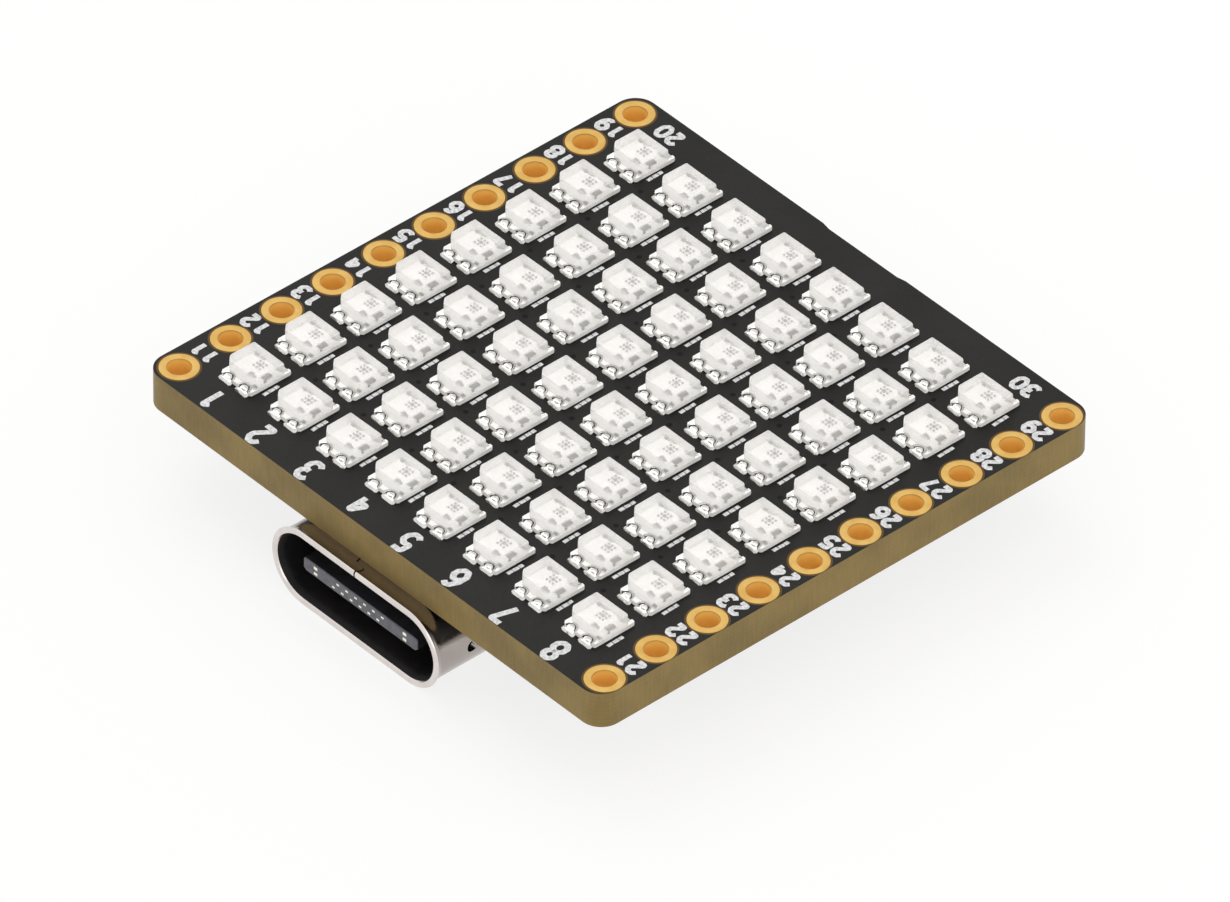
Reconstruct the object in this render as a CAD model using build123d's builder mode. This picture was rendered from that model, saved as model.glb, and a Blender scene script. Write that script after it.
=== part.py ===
"""LED matrix board: an 8 by 8 field of addressable LEDs on a small controller board.

Frame: the origin is the centre of the header hole pattern, on the board's LED face. +Z points away
from the LED face, +X across the two header rows, and the USB socket opens towards -Y.
All sizes are in millimetres.
"""

import os
from build123d import *

# Plated header holes
pin_pitch = 2.54
pins_per_row = 10
row_spacing = 23.86
pin_hole = 0.96

# Circuit board
board_side_margin = 0.87  # from each header row to the long edge beside it
board_end_margin = 0.97  # from the last hole of a row to the board's end
board_thickness = 1.6
board_corner = 0.9
board_shift = -0.07  # the outline's centre from the header centre, along X
notch_width = 4.6  # shallow notch left in the far edge by the panel tab
notch_depth = 0.08
notch_slope = 0.4

# LED packages
leds_per_row = 8
led_pitch = 2.75
led_width = 1.76
led_length = 2.1
led_base_height = 0.2
lens_height = 0.55
lens_foot = 1.52  # along Y, where the lens meets its base
lens_inset = 0.01  # from the base's sides to the lens's sides
lens_draft = 86  # slope of the two end faces, degrees
lens_chamfer = 0.28  # polarity mark on one corner
terminal_width = 0.64
terminal_gap = 0.22
terminal_toe = 0.12
terminal_height = 0.16

# USB socket
usb_width = 9.1
usb_height = 3.2
usb_length = 7.3
usb_wall = 0.28
usb_overhang = 0.8  # beyond the board's near edge
usb_lip = 0.13  # how far the mouth flares out
usb_lip_length = 0.35
usb_seam = 0.08
usb_side_hole = 0.5
usb_side_hole_depth = 1.85  # from the mouth
usb_foot_reach = 0.7
usb_foot_width = 1.1
usb_foot_depths = (2.9, 6.3)  # from the mouth to each foot's middle
insulator_depth = 4.9  # from the mouth to the insulator's face
insulator_gap = 0.02
tongue_width = 6.4
tongue_height = 0.6
tongue_setback = 0.3
tongue_corner = 0.15
mid_plate_width = 5.9
mid_plate_height = 0.1
mid_plate_setback = 1.2  # from the tongue's nose
contact_pitch = 0.5
contact_height = 0.2
centre_contacts = 6
centre_contact_width = 0.2
outer_contact_width = 0.3
outer_contact_place = 2.5
tail_gap = 0.1  # behind the shell, and between the two rows of tails

# Parts under the board
controller_size = 7.0
controller_height = 0.85
controller_place = (-0.9, 1.6)
flash_size = (3.0, 2.0, 0.6)
flash_place = (6.2, 4.4)
crystal_size = (3.2, 2.5, 0.35)
crystal_lid_size = (2.8, 2.1, 0.35)
crystal_place = (-7.6, 4.4)
regulator_size = (2.9, 1.6, 1.1)
regulator_place = (6.9, -1.6)
regulator_pitch = 0.95
regulator_lead_width = 0.4
regulator_reach = 0.6
lead_thickness = 0.15
inductor_size = (2.0, 1.6, 1.0)
inductor_place = (-7.4, 0.2)
chip_size = (1.0, 0.5, 0.5)
chip_end = 0.25  # length of each metal end
chip_waist = 0.02  # how far the body lies under its ends
chip_spacing = 1.6
chips_per_row = 4
capacitor_row_gap = 0.9  # from the controller's side to the row's middle
resistor_place = (6.6, 7.6)

# Press buttons
button_side_inset = 3.63  # from a header row to the button's middle
button_end_inset = 4.0  # from the board's near edge
button_width = 4.0
button_length = 3.0
button_base_height = 1.3
well_diameter = 2.3
well_depth = 1.0
dome_height = 0.3
dome_metal = 0.06
dome_width = 1.3  # across the arch
dome_clearance = 0.05  # left between dome and plunger when pressed
button_travel = 0.2
cover_width = 3.4
cover_thickness = 0.15
cover_skirt = 0.9
cover_hole = 1.6
plunger_gap = 0.05
plunger_proud = 0.5
flange_gap = 0.1
button_lead_width = 0.6
button_lead_reach = 0.7
button_lead_spacing = 1.8
button_lead_depth = 0.6  # under the board

# Derived sizes and places
board_width = row_spacing + 2 * board_side_margin
board_length = (pins_per_row - 1) * pin_pitch + 2 * board_end_margin
underside = -board_thickness
mouth_y = -board_length / 2 - usb_overhang
usb_middle_z = underside - usb_height / 2
usb_back_y = mouth_y + usb_length
tongue_y = mouth_y + tongue_setback
lens_width = led_width - 2 * lens_inset
button_x = row_spacing / 2 - button_side_inset
button_y = button_end_inset - board_length / 2
button_places = {"boot": (-button_x, button_y), "reset": (button_x, button_y)}


def led_row_y(row):
    """Y of an LED row's middle, counted from the socket side."""
    return (row - (leds_per_row - 1) / 2) * led_pitch


def led_x(column):
    """X of an LED column's middle."""
    return board_shift + (column - (leds_per_row - 1) / 2) * led_pitch


def hanging_plane(place, depth=0):
    """Plane under the board that faces down, at this depth below its underside."""
    return Plane(origin=(place[0], place[1], underside - depth), x_dir=(1, 0, 0), z_dir=(0, 0, -1))


def gull_wing(depth, reach):
    """Section of a lead that leaves its part below the board, rises and ends in a flat foot."""
    knee = reach / 2
    return (
        (0, -depth),
        (knee + lead_thickness, -depth),
        (knee + lead_thickness, -lead_thickness),
        (reach, -lead_thickness),
        (reach, 0),
        (knee, 0),
        (knee, lead_thickness - depth),
        (0, lead_thickness - depth),
    )


os.makedirs("parts", exist_ok=True)

# Circuit board with its header holes and the far edge's notch
with BuildPart() as circuit_board:
    with BuildSketch(Plane.XY.offset(underside)):
        with Locations((board_shift, 0)):
            RectangleRounded(board_width, board_length, board_corner)
        with GridLocations(row_spacing, pin_pitch, 2, pins_per_row):
            Circle(pin_hole / 2, mode=Mode.SUBTRACT)
        with BuildLine():
            Polyline(
                (board_shift - notch_width / 2, board_length / 2),
                (board_shift - notch_width / 2 + notch_slope, board_length / 2 - notch_depth),
                (board_shift + notch_width / 2 - notch_slope, board_length / 2 - notch_depth),
                (board_shift + notch_width / 2, board_length / 2),
                close=True,
            )
        make_face(mode=Mode.SUBTRACT)
    extrude(amount=board_thickness)
circuit_board.part.label = "circuit_board"
export_step(circuit_board.part, "parts/circuit_board.step")

# LED rows, each a base, a lens and four soldered terminals per package
for row in range(leds_per_row):
    row_y = led_row_y(row)
    with BuildPart() as bases:
        with BuildSketch(Plane.XY):
            with Locations((board_shift, row_y)):
                with GridLocations(led_pitch, 0, leds_per_row, 1):
                    Rectangle(led_width, led_length)
        extrude(amount=led_base_height)
    bases.part.label = f"led_bases_row_{row + 1}"
    export_step(bases.part, f"parts/led_bases_row_{row + 1}.step")

    lens_planes = [
        Plane(origin=(led_x(column), row_y, led_base_height), x_dir=(0, 1, 0), z_dir=(1, 0, 0))
        for column in range(leds_per_row)
    ]
    with BuildPart() as lenses:
        with BuildSketch(*lens_planes):
            Trapezoid(lens_foot, lens_height, lens_draft, align=(Align.CENTER, Align.MIN))
        extrude(amount=lens_width / 2, both=True)
        with BuildSketch(Plane.XY.offset(led_base_height)):
            with Locations((board_shift - lens_width / 2, row_y - lens_foot / 2)):
                with GridLocations(led_pitch, 0, leds_per_row, 1):
                    Polygon((0, 0), (lens_chamfer, 0), (0, lens_chamfer), align=None)
        extrude(amount=lens_height, mode=Mode.SUBTRACT)
    lenses.part.label = f"led_lenses_row_{row + 1}"
    export_step(lenses.part, f"parts/led_lenses_row_{row + 1}.step")

    terminal_step = terminal_width + terminal_gap
    terminal_planes = [
        Plane(
            origin=(led_x(column) + across * terminal_step / 2, row_y + end * led_length / 2, 0),
            x_dir=(0, end, 0),
            z_dir=(end, 0, 0),
        )
        for column in range(leds_per_row)
        for across in (-1, 1)
        for end in (-1, 1)
    ]
    with BuildPart() as terminals:
        with BuildSketch(*terminal_planes):
            Polygon((0, 0), (terminal_toe, 0), (0, terminal_height), align=None)
        extrude(amount=terminal_width / 2, both=True)
    terminals.part.label = f"led_terminals_row_{row + 1}"
    export_step(terminals.part, f"parts/led_terminals_row_{row + 1}.step")

# USB shell: one folded sheet with a flared mouth, a seam, side holes and four feet
mouth_plane = Plane(origin=(0, mouth_y, usb_middle_z), x_dir=(-1, 0, 0), z_dir=(0, 1, 0))
with BuildPart() as usb_shell:
    with BuildSketch(mouth_plane.offset(usb_lip_length)):
        SlotOverall(usb_width, usb_height)
    extrude(amount=usb_length - usb_lip_length)
    with BuildSketch(mouth_plane):
        SlotOverall(usb_width + 2 * usb_lip, usb_height + 2 * usb_lip)
    with BuildSketch(mouth_plane.offset(usb_lip_length)):
        SlotOverall(usb_width, usb_height)
    loft()
    for depth in usb_foot_depths:
        with BuildSketch(mouth_plane.offset(depth)):
            for hand in (-1, 1):
                with Locations((hand * (usb_width - usb_wall) / 2, usb_height / 4)):
                    Rectangle(usb_wall, usb_height / 2)
                foot_middle = (usb_width + usb_foot_reach - usb_wall) / 2
                with Locations((hand * foot_middle, (usb_height - usb_wall) / 2)):
                    Rectangle(usb_foot_reach + usb_wall, usb_wall)
        extrude(amount=usb_foot_width / 2, both=True)
    with BuildSketch(mouth_plane.offset(usb_lip_length)):
        SlotOverall(usb_width - 2 * usb_wall, usb_height - 2 * usb_wall)
    extrude(amount=usb_length - usb_lip_length, mode=Mode.SUBTRACT)
    with BuildSketch(mouth_plane):
        SlotOverall(
            usb_width + 2 * usb_lip - 2 * usb_wall, usb_height + 2 * usb_lip - 2 * usb_wall
        )
    with BuildSketch(mouth_plane.offset(usb_lip_length)):
        SlotOverall(usb_width - 2 * usb_wall, usb_height - 2 * usb_wall)
    loft(mode=Mode.SUBTRACT)
    with BuildSketch(mouth_plane):
        with Locations((0, usb_height / 2)):
            Rectangle(usb_seam, 2 * (usb_wall + usb_lip))
    extrude(amount=insulator_depth, mode=Mode.SUBTRACT)
    with BuildSketch(Plane.YZ.offset(-usb_width)):
        with Locations((mouth_y + usb_side_hole_depth, usb_middle_z)):
            Circle(usb_side_hole / 2)
    extrude(amount=2 * usb_width, mode=Mode.SUBTRACT)
usb_shell.part.label = "usb_shell"
export_step(usb_shell.part, "parts/usb_shell.step")

# Contacts: a strip along the tongue that runs through the insulator and bends up to the board
centre_places = [
    (place - (centre_contacts - 1) / 2) * contact_pitch for place in range(centre_contacts)
]
contact_rows = {
    "upper": (tongue_height / 2 - contact_height, 0, tail_gap),
    "lower": (-tongue_height / 2, -contact_pitch / 2, 2 * tail_gap + contact_height),
}
built_contacts = []
for level, (strip_z, shift, tail_place) in contact_rows.items():
    strip_bottom = usb_middle_z + strip_z
    tail_y = usb_back_y + tail_place
    with BuildPart() as contacts:
        for places, width in (
            ([x + shift for x in centre_places], centre_contact_width),
            ([-outer_contact_place, outer_contact_place], outer_contact_width),
        ):
            with BuildSketch(*[Plane.YZ.offset(x) for x in places]):
                Polygon(
                    (tongue_y, strip_bottom),
                    (tail_y + contact_height, strip_bottom),
                    (tail_y + contact_height, underside),
                    (tail_y, underside),
                    (tail_y, strip_bottom + contact_height),
                    (tongue_y, strip_bottom + contact_height),
                    align=None,
                )
            extrude(amount=width / 2, both=True)
    contacts.part.label = f"usb_contacts_{level}"
    export_step(contacts.part, f"parts/usb_contacts_{level}.step")
    built_contacts.append(contacts.part)

# Steel plate that stiffens the tongue from inside
with BuildPart() as usb_mid_plate:
    with BuildSketch(mouth_plane.offset(tongue_setback + mid_plate_setback)):
        Rectangle(mid_plate_width, mid_plate_height)
    extrude(amount=insulator_depth - tongue_setback)
usb_mid_plate.part.label = "usb_mid_plate"
export_step(usb_mid_plate.part, "parts/usb_mid_plate.step")

# Moulded insulator: the block at the back of the shell and the tongue in one piece
with BuildPart() as usb_insulator:
    with BuildSketch(mouth_plane.offset(insulator_depth)):
        SlotOverall(
            usb_width - 2 * (usb_wall + insulator_gap), usb_height - 2 * (usb_wall + insulator_gap)
        )
    extrude(amount=usb_length - insulator_depth)
    with BuildSketch(mouth_plane.offset(tongue_setback)):
        RectangleRounded(tongue_width, tongue_height, tongue_corner)
    extrude(amount=insulator_depth - tongue_setback)
    add(built_contacts, mode=Mode.SUBTRACT)
    add(usb_mid_plate.part, mode=Mode.SUBTRACT)
usb_insulator.part.label = "usb_insulator"
export_step(usb_insulator.part, "parts/usb_insulator.step")

# Controller package
with BuildPart() as controller:
    with BuildSketch(hanging_plane(controller_place)):
        Rectangle(controller_size, controller_size)
    extrude(amount=controller_height)
controller.part.label = "controller"
export_step(controller.part, "parts/controller.step")

# Flash memory
with BuildPart() as flash_memory:
    with BuildSketch(hanging_plane(flash_place)):
        Rectangle(flash_size[0], flash_size[1])
    extrude(amount=flash_size[2])
flash_memory.part.label = "flash_memory"
export_step(flash_memory.part, "parts/flash_memory.step")

# Crystal: a ceramic base and a metal lid
with BuildPart() as crystal_base:
    with BuildSketch(hanging_plane(crystal_place)):
        Rectangle(crystal_size[0], crystal_size[1])
    extrude(amount=crystal_size[2])
crystal_base.part.label = "crystal_base"
export_step(crystal_base.part, "parts/crystal_base.step")

with BuildPart() as crystal_lid:
    with BuildSketch(hanging_plane(crystal_place, crystal_size[2])):
        Rectangle(crystal_lid_size[0], crystal_lid_size[1])
    extrude(amount=crystal_lid_size[2])
crystal_lid.part.label = "crystal_lid"
export_step(crystal_lid.part, "parts/crystal_lid.step")

# Voltage regulator: a moulded body and five leads, three on one side and two on the other
with BuildPart() as regulator_body:
    with BuildSketch(hanging_plane(regulator_place)):
        Rectangle(regulator_size[0], regulator_size[1])
    extrude(amount=regulator_size[2])
regulator_body.part.label = "regulator_body"
export_step(regulator_body.part, "parts/regulator_body.step")

regulator_lead_planes = [
    Plane(
        origin=(
            regulator_place[0] + step * regulator_pitch,
            regulator_place[1] + side * regulator_size[1] / 2,
            underside,
        ),
        x_dir=(0, side, 0),
        z_dir=(side, 0, 0),
    )
    for side, steps in ((-1, (-1, 0, 1)), (1, (-1, 1)))
    for step in steps
]
with BuildPart() as regulator_leads:
    with BuildSketch(*regulator_lead_planes):
        Polygon(*gull_wing(regulator_size[2] / 2, regulator_reach), align=None)
    extrude(amount=regulator_lead_width / 2, both=True)
regulator_leads.part.label = "regulator_leads"
export_step(regulator_leads.part, "parts/regulator_leads.step")

# Inductor
with BuildPart() as inductor:
    with BuildSketch(hanging_plane(inductor_place)):
        Rectangle(inductor_size[0], inductor_size[1])
    extrude(amount=inductor_size[2])
    chamfer(inductor.faces().sort_by(Axis.Z)[0].edges(), inductor_size[2] / 10)
inductor.part.label = "inductor"
export_step(inductor.part, "parts/inductor.step")


def build_chips(name, places):
    """Group of chips, each a ceramic body between two slightly larger metal ends."""
    length, width, height = chip_size
    with BuildPart() as chips:
        with BuildSketch(*[hanging_plane(place) for place in places]):
            for hand in (-1, 1):
                with Locations((hand * (length - chip_end) / 2, 0)):
                    Rectangle(chip_end, width)
        extrude(amount=height)
        with BuildSketch(*[hanging_plane(place) for place in places]):
            Rectangle(length - 2 * chip_end, width - 2 * chip_waist)
        extrude(amount=height - chip_waist)
    chips.part.label = name
    export_step(chips.part, f"parts/{name}.step")


row_offsets = [(step - (chips_per_row - 1) / 2) * chip_spacing for step in range(chips_per_row)]
capacitor_reach = controller_size / 2 + capacitor_row_gap
capacitor_places = [
    (controller_place[0] + offset, controller_place[1] + hand * capacitor_reach)
    for offset in row_offsets
    for hand in (-1, 1)
]
build_chips("capacitors", capacitor_places)
build_chips("resistors", [(resistor_place[0] + x, resistor_place[1]) for x in row_offsets])


def build_button(name, place):
    """Press button: moulded base with a well, snap dome, plunger, steel cover and four leads."""
    base_length = button_length - 2 * cover_thickness
    with BuildPart() as base:
        with BuildSketch(hanging_plane(place)):
            Rectangle(button_width, base_length)
        extrude(amount=button_base_height)
        with BuildSketch(hanging_plane(place, button_base_height)):
            Circle(well_diameter / 2)
        extrude(amount=-well_depth, mode=Mode.SUBTRACT)
    base.part.label = f"{name}_button_base"
    export_step(base.part, f"parts/{name}_button_base.step")

    floor = button_base_height - well_depth
    dome_radius = well_diameter / 2 - flange_gap
    dome_plane = Plane(
        origin=(place[0], place[1], underside - floor), x_dir=(1, 0, 0), z_dir=(0, -1, 0)
    )
    with BuildPart() as dome:
        with BuildSketch(dome_plane):
            with BuildLine():
                inner_radius = dome_radius - dome_metal
                ThreePointArc((-dome_radius, 0), (0, -dome_height), (dome_radius, 0))
                Line((dome_radius, 0), (inner_radius, 0))
                ThreePointArc((inner_radius, 0), (0, dome_metal - dome_height), (-inner_radius, 0))
                Line((-inner_radius, 0), (-dome_radius, 0))
            make_face()
        extrude(amount=dome_width / 2, both=True)
    dome.part.label = f"{name}_button_dome"
    export_step(dome.part, f"parts/{name}_button_dome.step")

    with BuildPart() as cover:
        with BuildSketch(hanging_plane(place, button_base_height)):
            Rectangle(cover_width, button_length)
            Circle(cover_hole / 2, mode=Mode.SUBTRACT)
        extrude(amount=cover_thickness)
        with BuildSketch(hanging_plane(place, button_base_height)):
            for hand in (-1, 1):
                with Locations((0, hand * (button_length - cover_thickness) / 2)):
                    Rectangle(cover_width, cover_thickness)
        extrude(amount=-cover_skirt)
    cover.part.label = f"{name}_button_cover"
    export_step(cover.part, f"parts/{name}_button_cover.step")

    flange_height = well_depth - dome_height - button_travel - dome_clearance
    with BuildPart() as plunger:
        with BuildSketch(hanging_plane(place, button_base_height)):
            Circle(well_diameter / 2 - flange_gap)
        extrude(amount=-flange_height)
        with BuildSketch(hanging_plane(place, button_base_height)):
            Circle(cover_hole / 2 - plunger_gap)
        extrude(amount=cover_thickness + plunger_proud)
    plunger.part.label = f"{name}_button_plunger"
    export_step(plunger.part, f"parts/{name}_button_plunger.step")

    lead_planes = [
        Plane(
            origin=(
                place[0] + side * button_width / 2,
                place[1] + along * button_lead_spacing / 2,
                underside,
            ),
            x_dir=(side, 0, 0),
            z_dir=(0, -side, 0),
        )
        for side in (-1, 1)
        for along in (-1, 1)
    ]
    with BuildPart() as leads:
        with BuildSketch(*lead_planes):
            Polygon(*gull_wing(button_lead_depth, button_lead_reach), align=None)
        extrude(amount=button_lead_width / 2, both=True)
    leads.part.label = f"{name}_button_leads"
    export_step(leads.part, f"parts/{name}_button_leads.step")


for button_name, button_place in button_places.items():
    build_button(button_name, button_place)
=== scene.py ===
"""Looks of the LED matrix board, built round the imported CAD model.

Blender works in metres in the CAD frame: +Z out of the LED face, +X across the two header rows, and
the USB socket opens towards -Y. Sizes in the classes are in millimetres, and MM turns them to metres.
"""

import logging
import math
from dataclasses import dataclass
from enum import Enum
from typing import Any, Sequence

import bmesh
import bpy
from mathutils import Matrix, Vector


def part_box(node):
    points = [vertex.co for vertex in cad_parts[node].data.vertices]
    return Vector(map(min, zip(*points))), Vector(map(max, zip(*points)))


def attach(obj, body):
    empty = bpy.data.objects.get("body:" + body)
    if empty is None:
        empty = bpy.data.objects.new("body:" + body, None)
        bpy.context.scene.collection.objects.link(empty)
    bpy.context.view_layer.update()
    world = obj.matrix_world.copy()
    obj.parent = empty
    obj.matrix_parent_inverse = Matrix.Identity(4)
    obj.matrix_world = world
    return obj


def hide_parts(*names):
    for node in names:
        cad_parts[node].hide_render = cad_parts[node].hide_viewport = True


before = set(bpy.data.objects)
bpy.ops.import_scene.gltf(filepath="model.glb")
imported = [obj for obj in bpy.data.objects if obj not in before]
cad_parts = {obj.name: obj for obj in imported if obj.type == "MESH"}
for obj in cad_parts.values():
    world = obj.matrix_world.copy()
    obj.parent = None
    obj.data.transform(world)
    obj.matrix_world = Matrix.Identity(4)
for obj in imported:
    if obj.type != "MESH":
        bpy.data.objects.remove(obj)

log = logging.getLogger("led_matrix_board")

MM = 0.001
FLOOR_Z = -4.93
UNDERSIDE_Z = -1.6
HALF_THICKNESS = 0.8
BOARD_CENTRE_X = -0.07
HEADER_X = 11.93
HOLES_PER_ROW = 10
PIN_PITCH = 2.54
LEDS_PER_ROW = 8
LED_PITCH = 2.75
USB_MIDDLE_Z = -3.2
MOUTH_Y = -13.2
BUTTONS = ("boot", "reset")
CHIPS_PER_ROW = 4
CHIP_PITCH = 1.6
CAPACITOR_X = -0.9
RESISTOR_X = 6.6

# Kinds of node that come up often
MATH = "ShaderNodeMath"
VECTOR_MATH = "ShaderNodeVectorMath"
AXES = "ShaderNodeSeparateXYZ"
VECTOR = "ShaderNodeCombineXYZ"
MIX = "ShaderNodeMix"
MIX_SHADER = "ShaderNodeMixShader"
RAMP = "ShaderNodeMapRange"
NOISE = "ShaderNodeTexNoise"
SOFT = {"interpolation_type": "SMOOTHSTEP"}

Point = tuple[float, float, float]
Path = Sequence[tuple[float, float]]
Rows = Sequence[Sequence[Point]]
Tree = bpy.types.NodeTree
Source = bpy.types.Node | bpy.types.NodeSocket


def spread(count: int, pitch: float, centre: float = 0.0) -> tuple[float, ...]:
    """Places of a row of things at a pitch, about a centre."""
    return tuple(centre + (place - (count - 1) / 2) * pitch for place in range(count))


# Shaders


def linear(hexcode: str) -> tuple[float, float, float, float]:
    """Turn an sRGB hex colour into the linear colour that a shader socket takes.

    Args:
        hexcode: Six hex digits.

    Returns:
        Linear red, green and blue, and an alpha of 1.
    """
    channels = []
    for start in (0, 2, 4):
        level = int(hexcode[start : start + 2], 16) / 255
        channels.append(level / 12.92 if level <= 0.04045 else ((level + 0.055) / 1.055) ** 2.4)
    return (*channels, 1.0)


def add_node(
    tree: Tree, kind: str, inputs: Sequence[Any] | dict[Any, Any] = (), **settings: Any
) -> bpy.types.Node:
    """Add a node with its settings, its values and its links.

    Args:
        tree: The shader or geometry tree that gets the node.
        kind: The node's type, such as "ShaderNodeTexNoise".
        inputs: Values by an input's name or number, or a row of values for the inputs that are in
            use, from the first on. A value may also be a socket to link, or a node, which gives
            its first output in use.
        **settings: Properties of the node.

    Returns:
        The new node.
    """
    node = tree.nodes.new(kind)
    for name, value in settings.items():
        setattr(node, name, value)
    if isinstance(inputs, dict):
        pairs = [(node.inputs[name], value) for name, value in inputs.items()]
    else:
        pairs = list(zip([socket for socket in node.inputs if socket.enabled], inputs))
    for socket, value in pairs:
        if isinstance(value, bpy.types.Node):
            value = next(output for output in value.outputs if output.enabled)
        if isinstance(value, bpy.types.NodeSocket):
            tree.links.new(value, socket)
        else:
            socket.default_value = value
    return node


def plain_rays(tree: Tree) -> Source:
    """1 on rays from the camera, off a shiny surface or through a clear one, and 0 on the rest."""
    path = add_node(tree, "ShaderNodeLightPath").outputs
    plain = path["Is Camera Ray"]
    for other in ("Is Glossy Ray", "Is Transmission Ray"):
        plain = add_node(tree, MATH, (plain, path[other]), operation="MAXIMUM")
    return plain


def from_middle(tree: Tree, place: Source) -> Source:
    """Distance from the plane halfway through the board, in metres."""
    level = add_node(tree, AXES, (place,)).outputs["Z"]
    raised = add_node(tree, MATH, (level, HALF_THICKNESS * MM), operation="ADD")
    return add_node(tree, MATH, (raised,), operation="ABSOLUTE")


@dataclass(frozen=True)
class Finish:
    """A surface: what it is made of and how it was made, and from that how it looks.

    Its colour drifts towards a second one in soft blotches, and its grain sets both the relief
    and the small changes in gloss.
    """

    name: str
    colour: str
    drift: str
    roughness: float
    metallic: float = 0.0
    ior: float = 1.5
    specular: float = 0.5
    blotch_mm: float = 1.5
    grain_mm: float = 0.08
    relief_mm: float = 0.002
    gloss_spread: float = 0.06
    detail: float = 3.0

    def material(self) -> bpy.types.Material:
        """Build the finish once and return its material."""
        made = bpy.data.materials.get(self.name)
        if made:
            return made
        made = bpy.data.materials.new(self.name)
        made.use_nodes = True
        made.diffuse_color = linear(self.colour)
        tree = made.node_tree
        tree.nodes.clear()
        place = add_node(tree, "ShaderNodeTexCoord").outputs["Object"]
        grain = add_node(tree, NOISE, (place, 1 / (self.grain_mm * MM), self.detail))
        spread = (self.roughness - self.gloss_spread, self.roughness + self.gloss_spread)
        bump = {"Height": self.relief(tree, place, grain), "Distance": self.relief_mm * MM}
        sockets = {
            "Base Color": self.paint(tree, place),
            "Metallic": self.metallic,
            "Roughness": add_node(tree, RAMP, (grain, 0.3, 0.7, *spread), **SOFT),
            "Specular IOR Level": self.specular,
            "Normal": add_node(tree, "ShaderNodeBump", bump),
        }
        if not self.metallic:
            sockets["IOR"] = self.ior
        shader = add_node(tree, "ShaderNodeBsdfPrincipled", sockets)
        add_node(tree, "ShaderNodeOutputMaterial", (self.surface(tree, shader, place),))
        return made

    def paint(self, tree: Tree, place: Source) -> Source:
        """Colour of the surface at each place."""
        blotches = add_node(tree, NOISE, (place, 1 / (self.blotch_mm * MM), self.detail))
        share = add_node(tree, RAMP, (blotches, 0.35, 0.65), **SOFT)
        return add_node(
            tree, MIX, (share, linear(self.colour), linear(self.drift)), data_type="RGBA"
        )

    def relief(self, tree: Tree, place: Source, grain: Source) -> Source:
        """Height of the surface at each place, from 0 to 1."""
        return grain

    def surface(self, tree: Tree, shader: bpy.types.Node, place: Source) -> Source:
        """Shader that the surface ends in."""
        return shader


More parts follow.
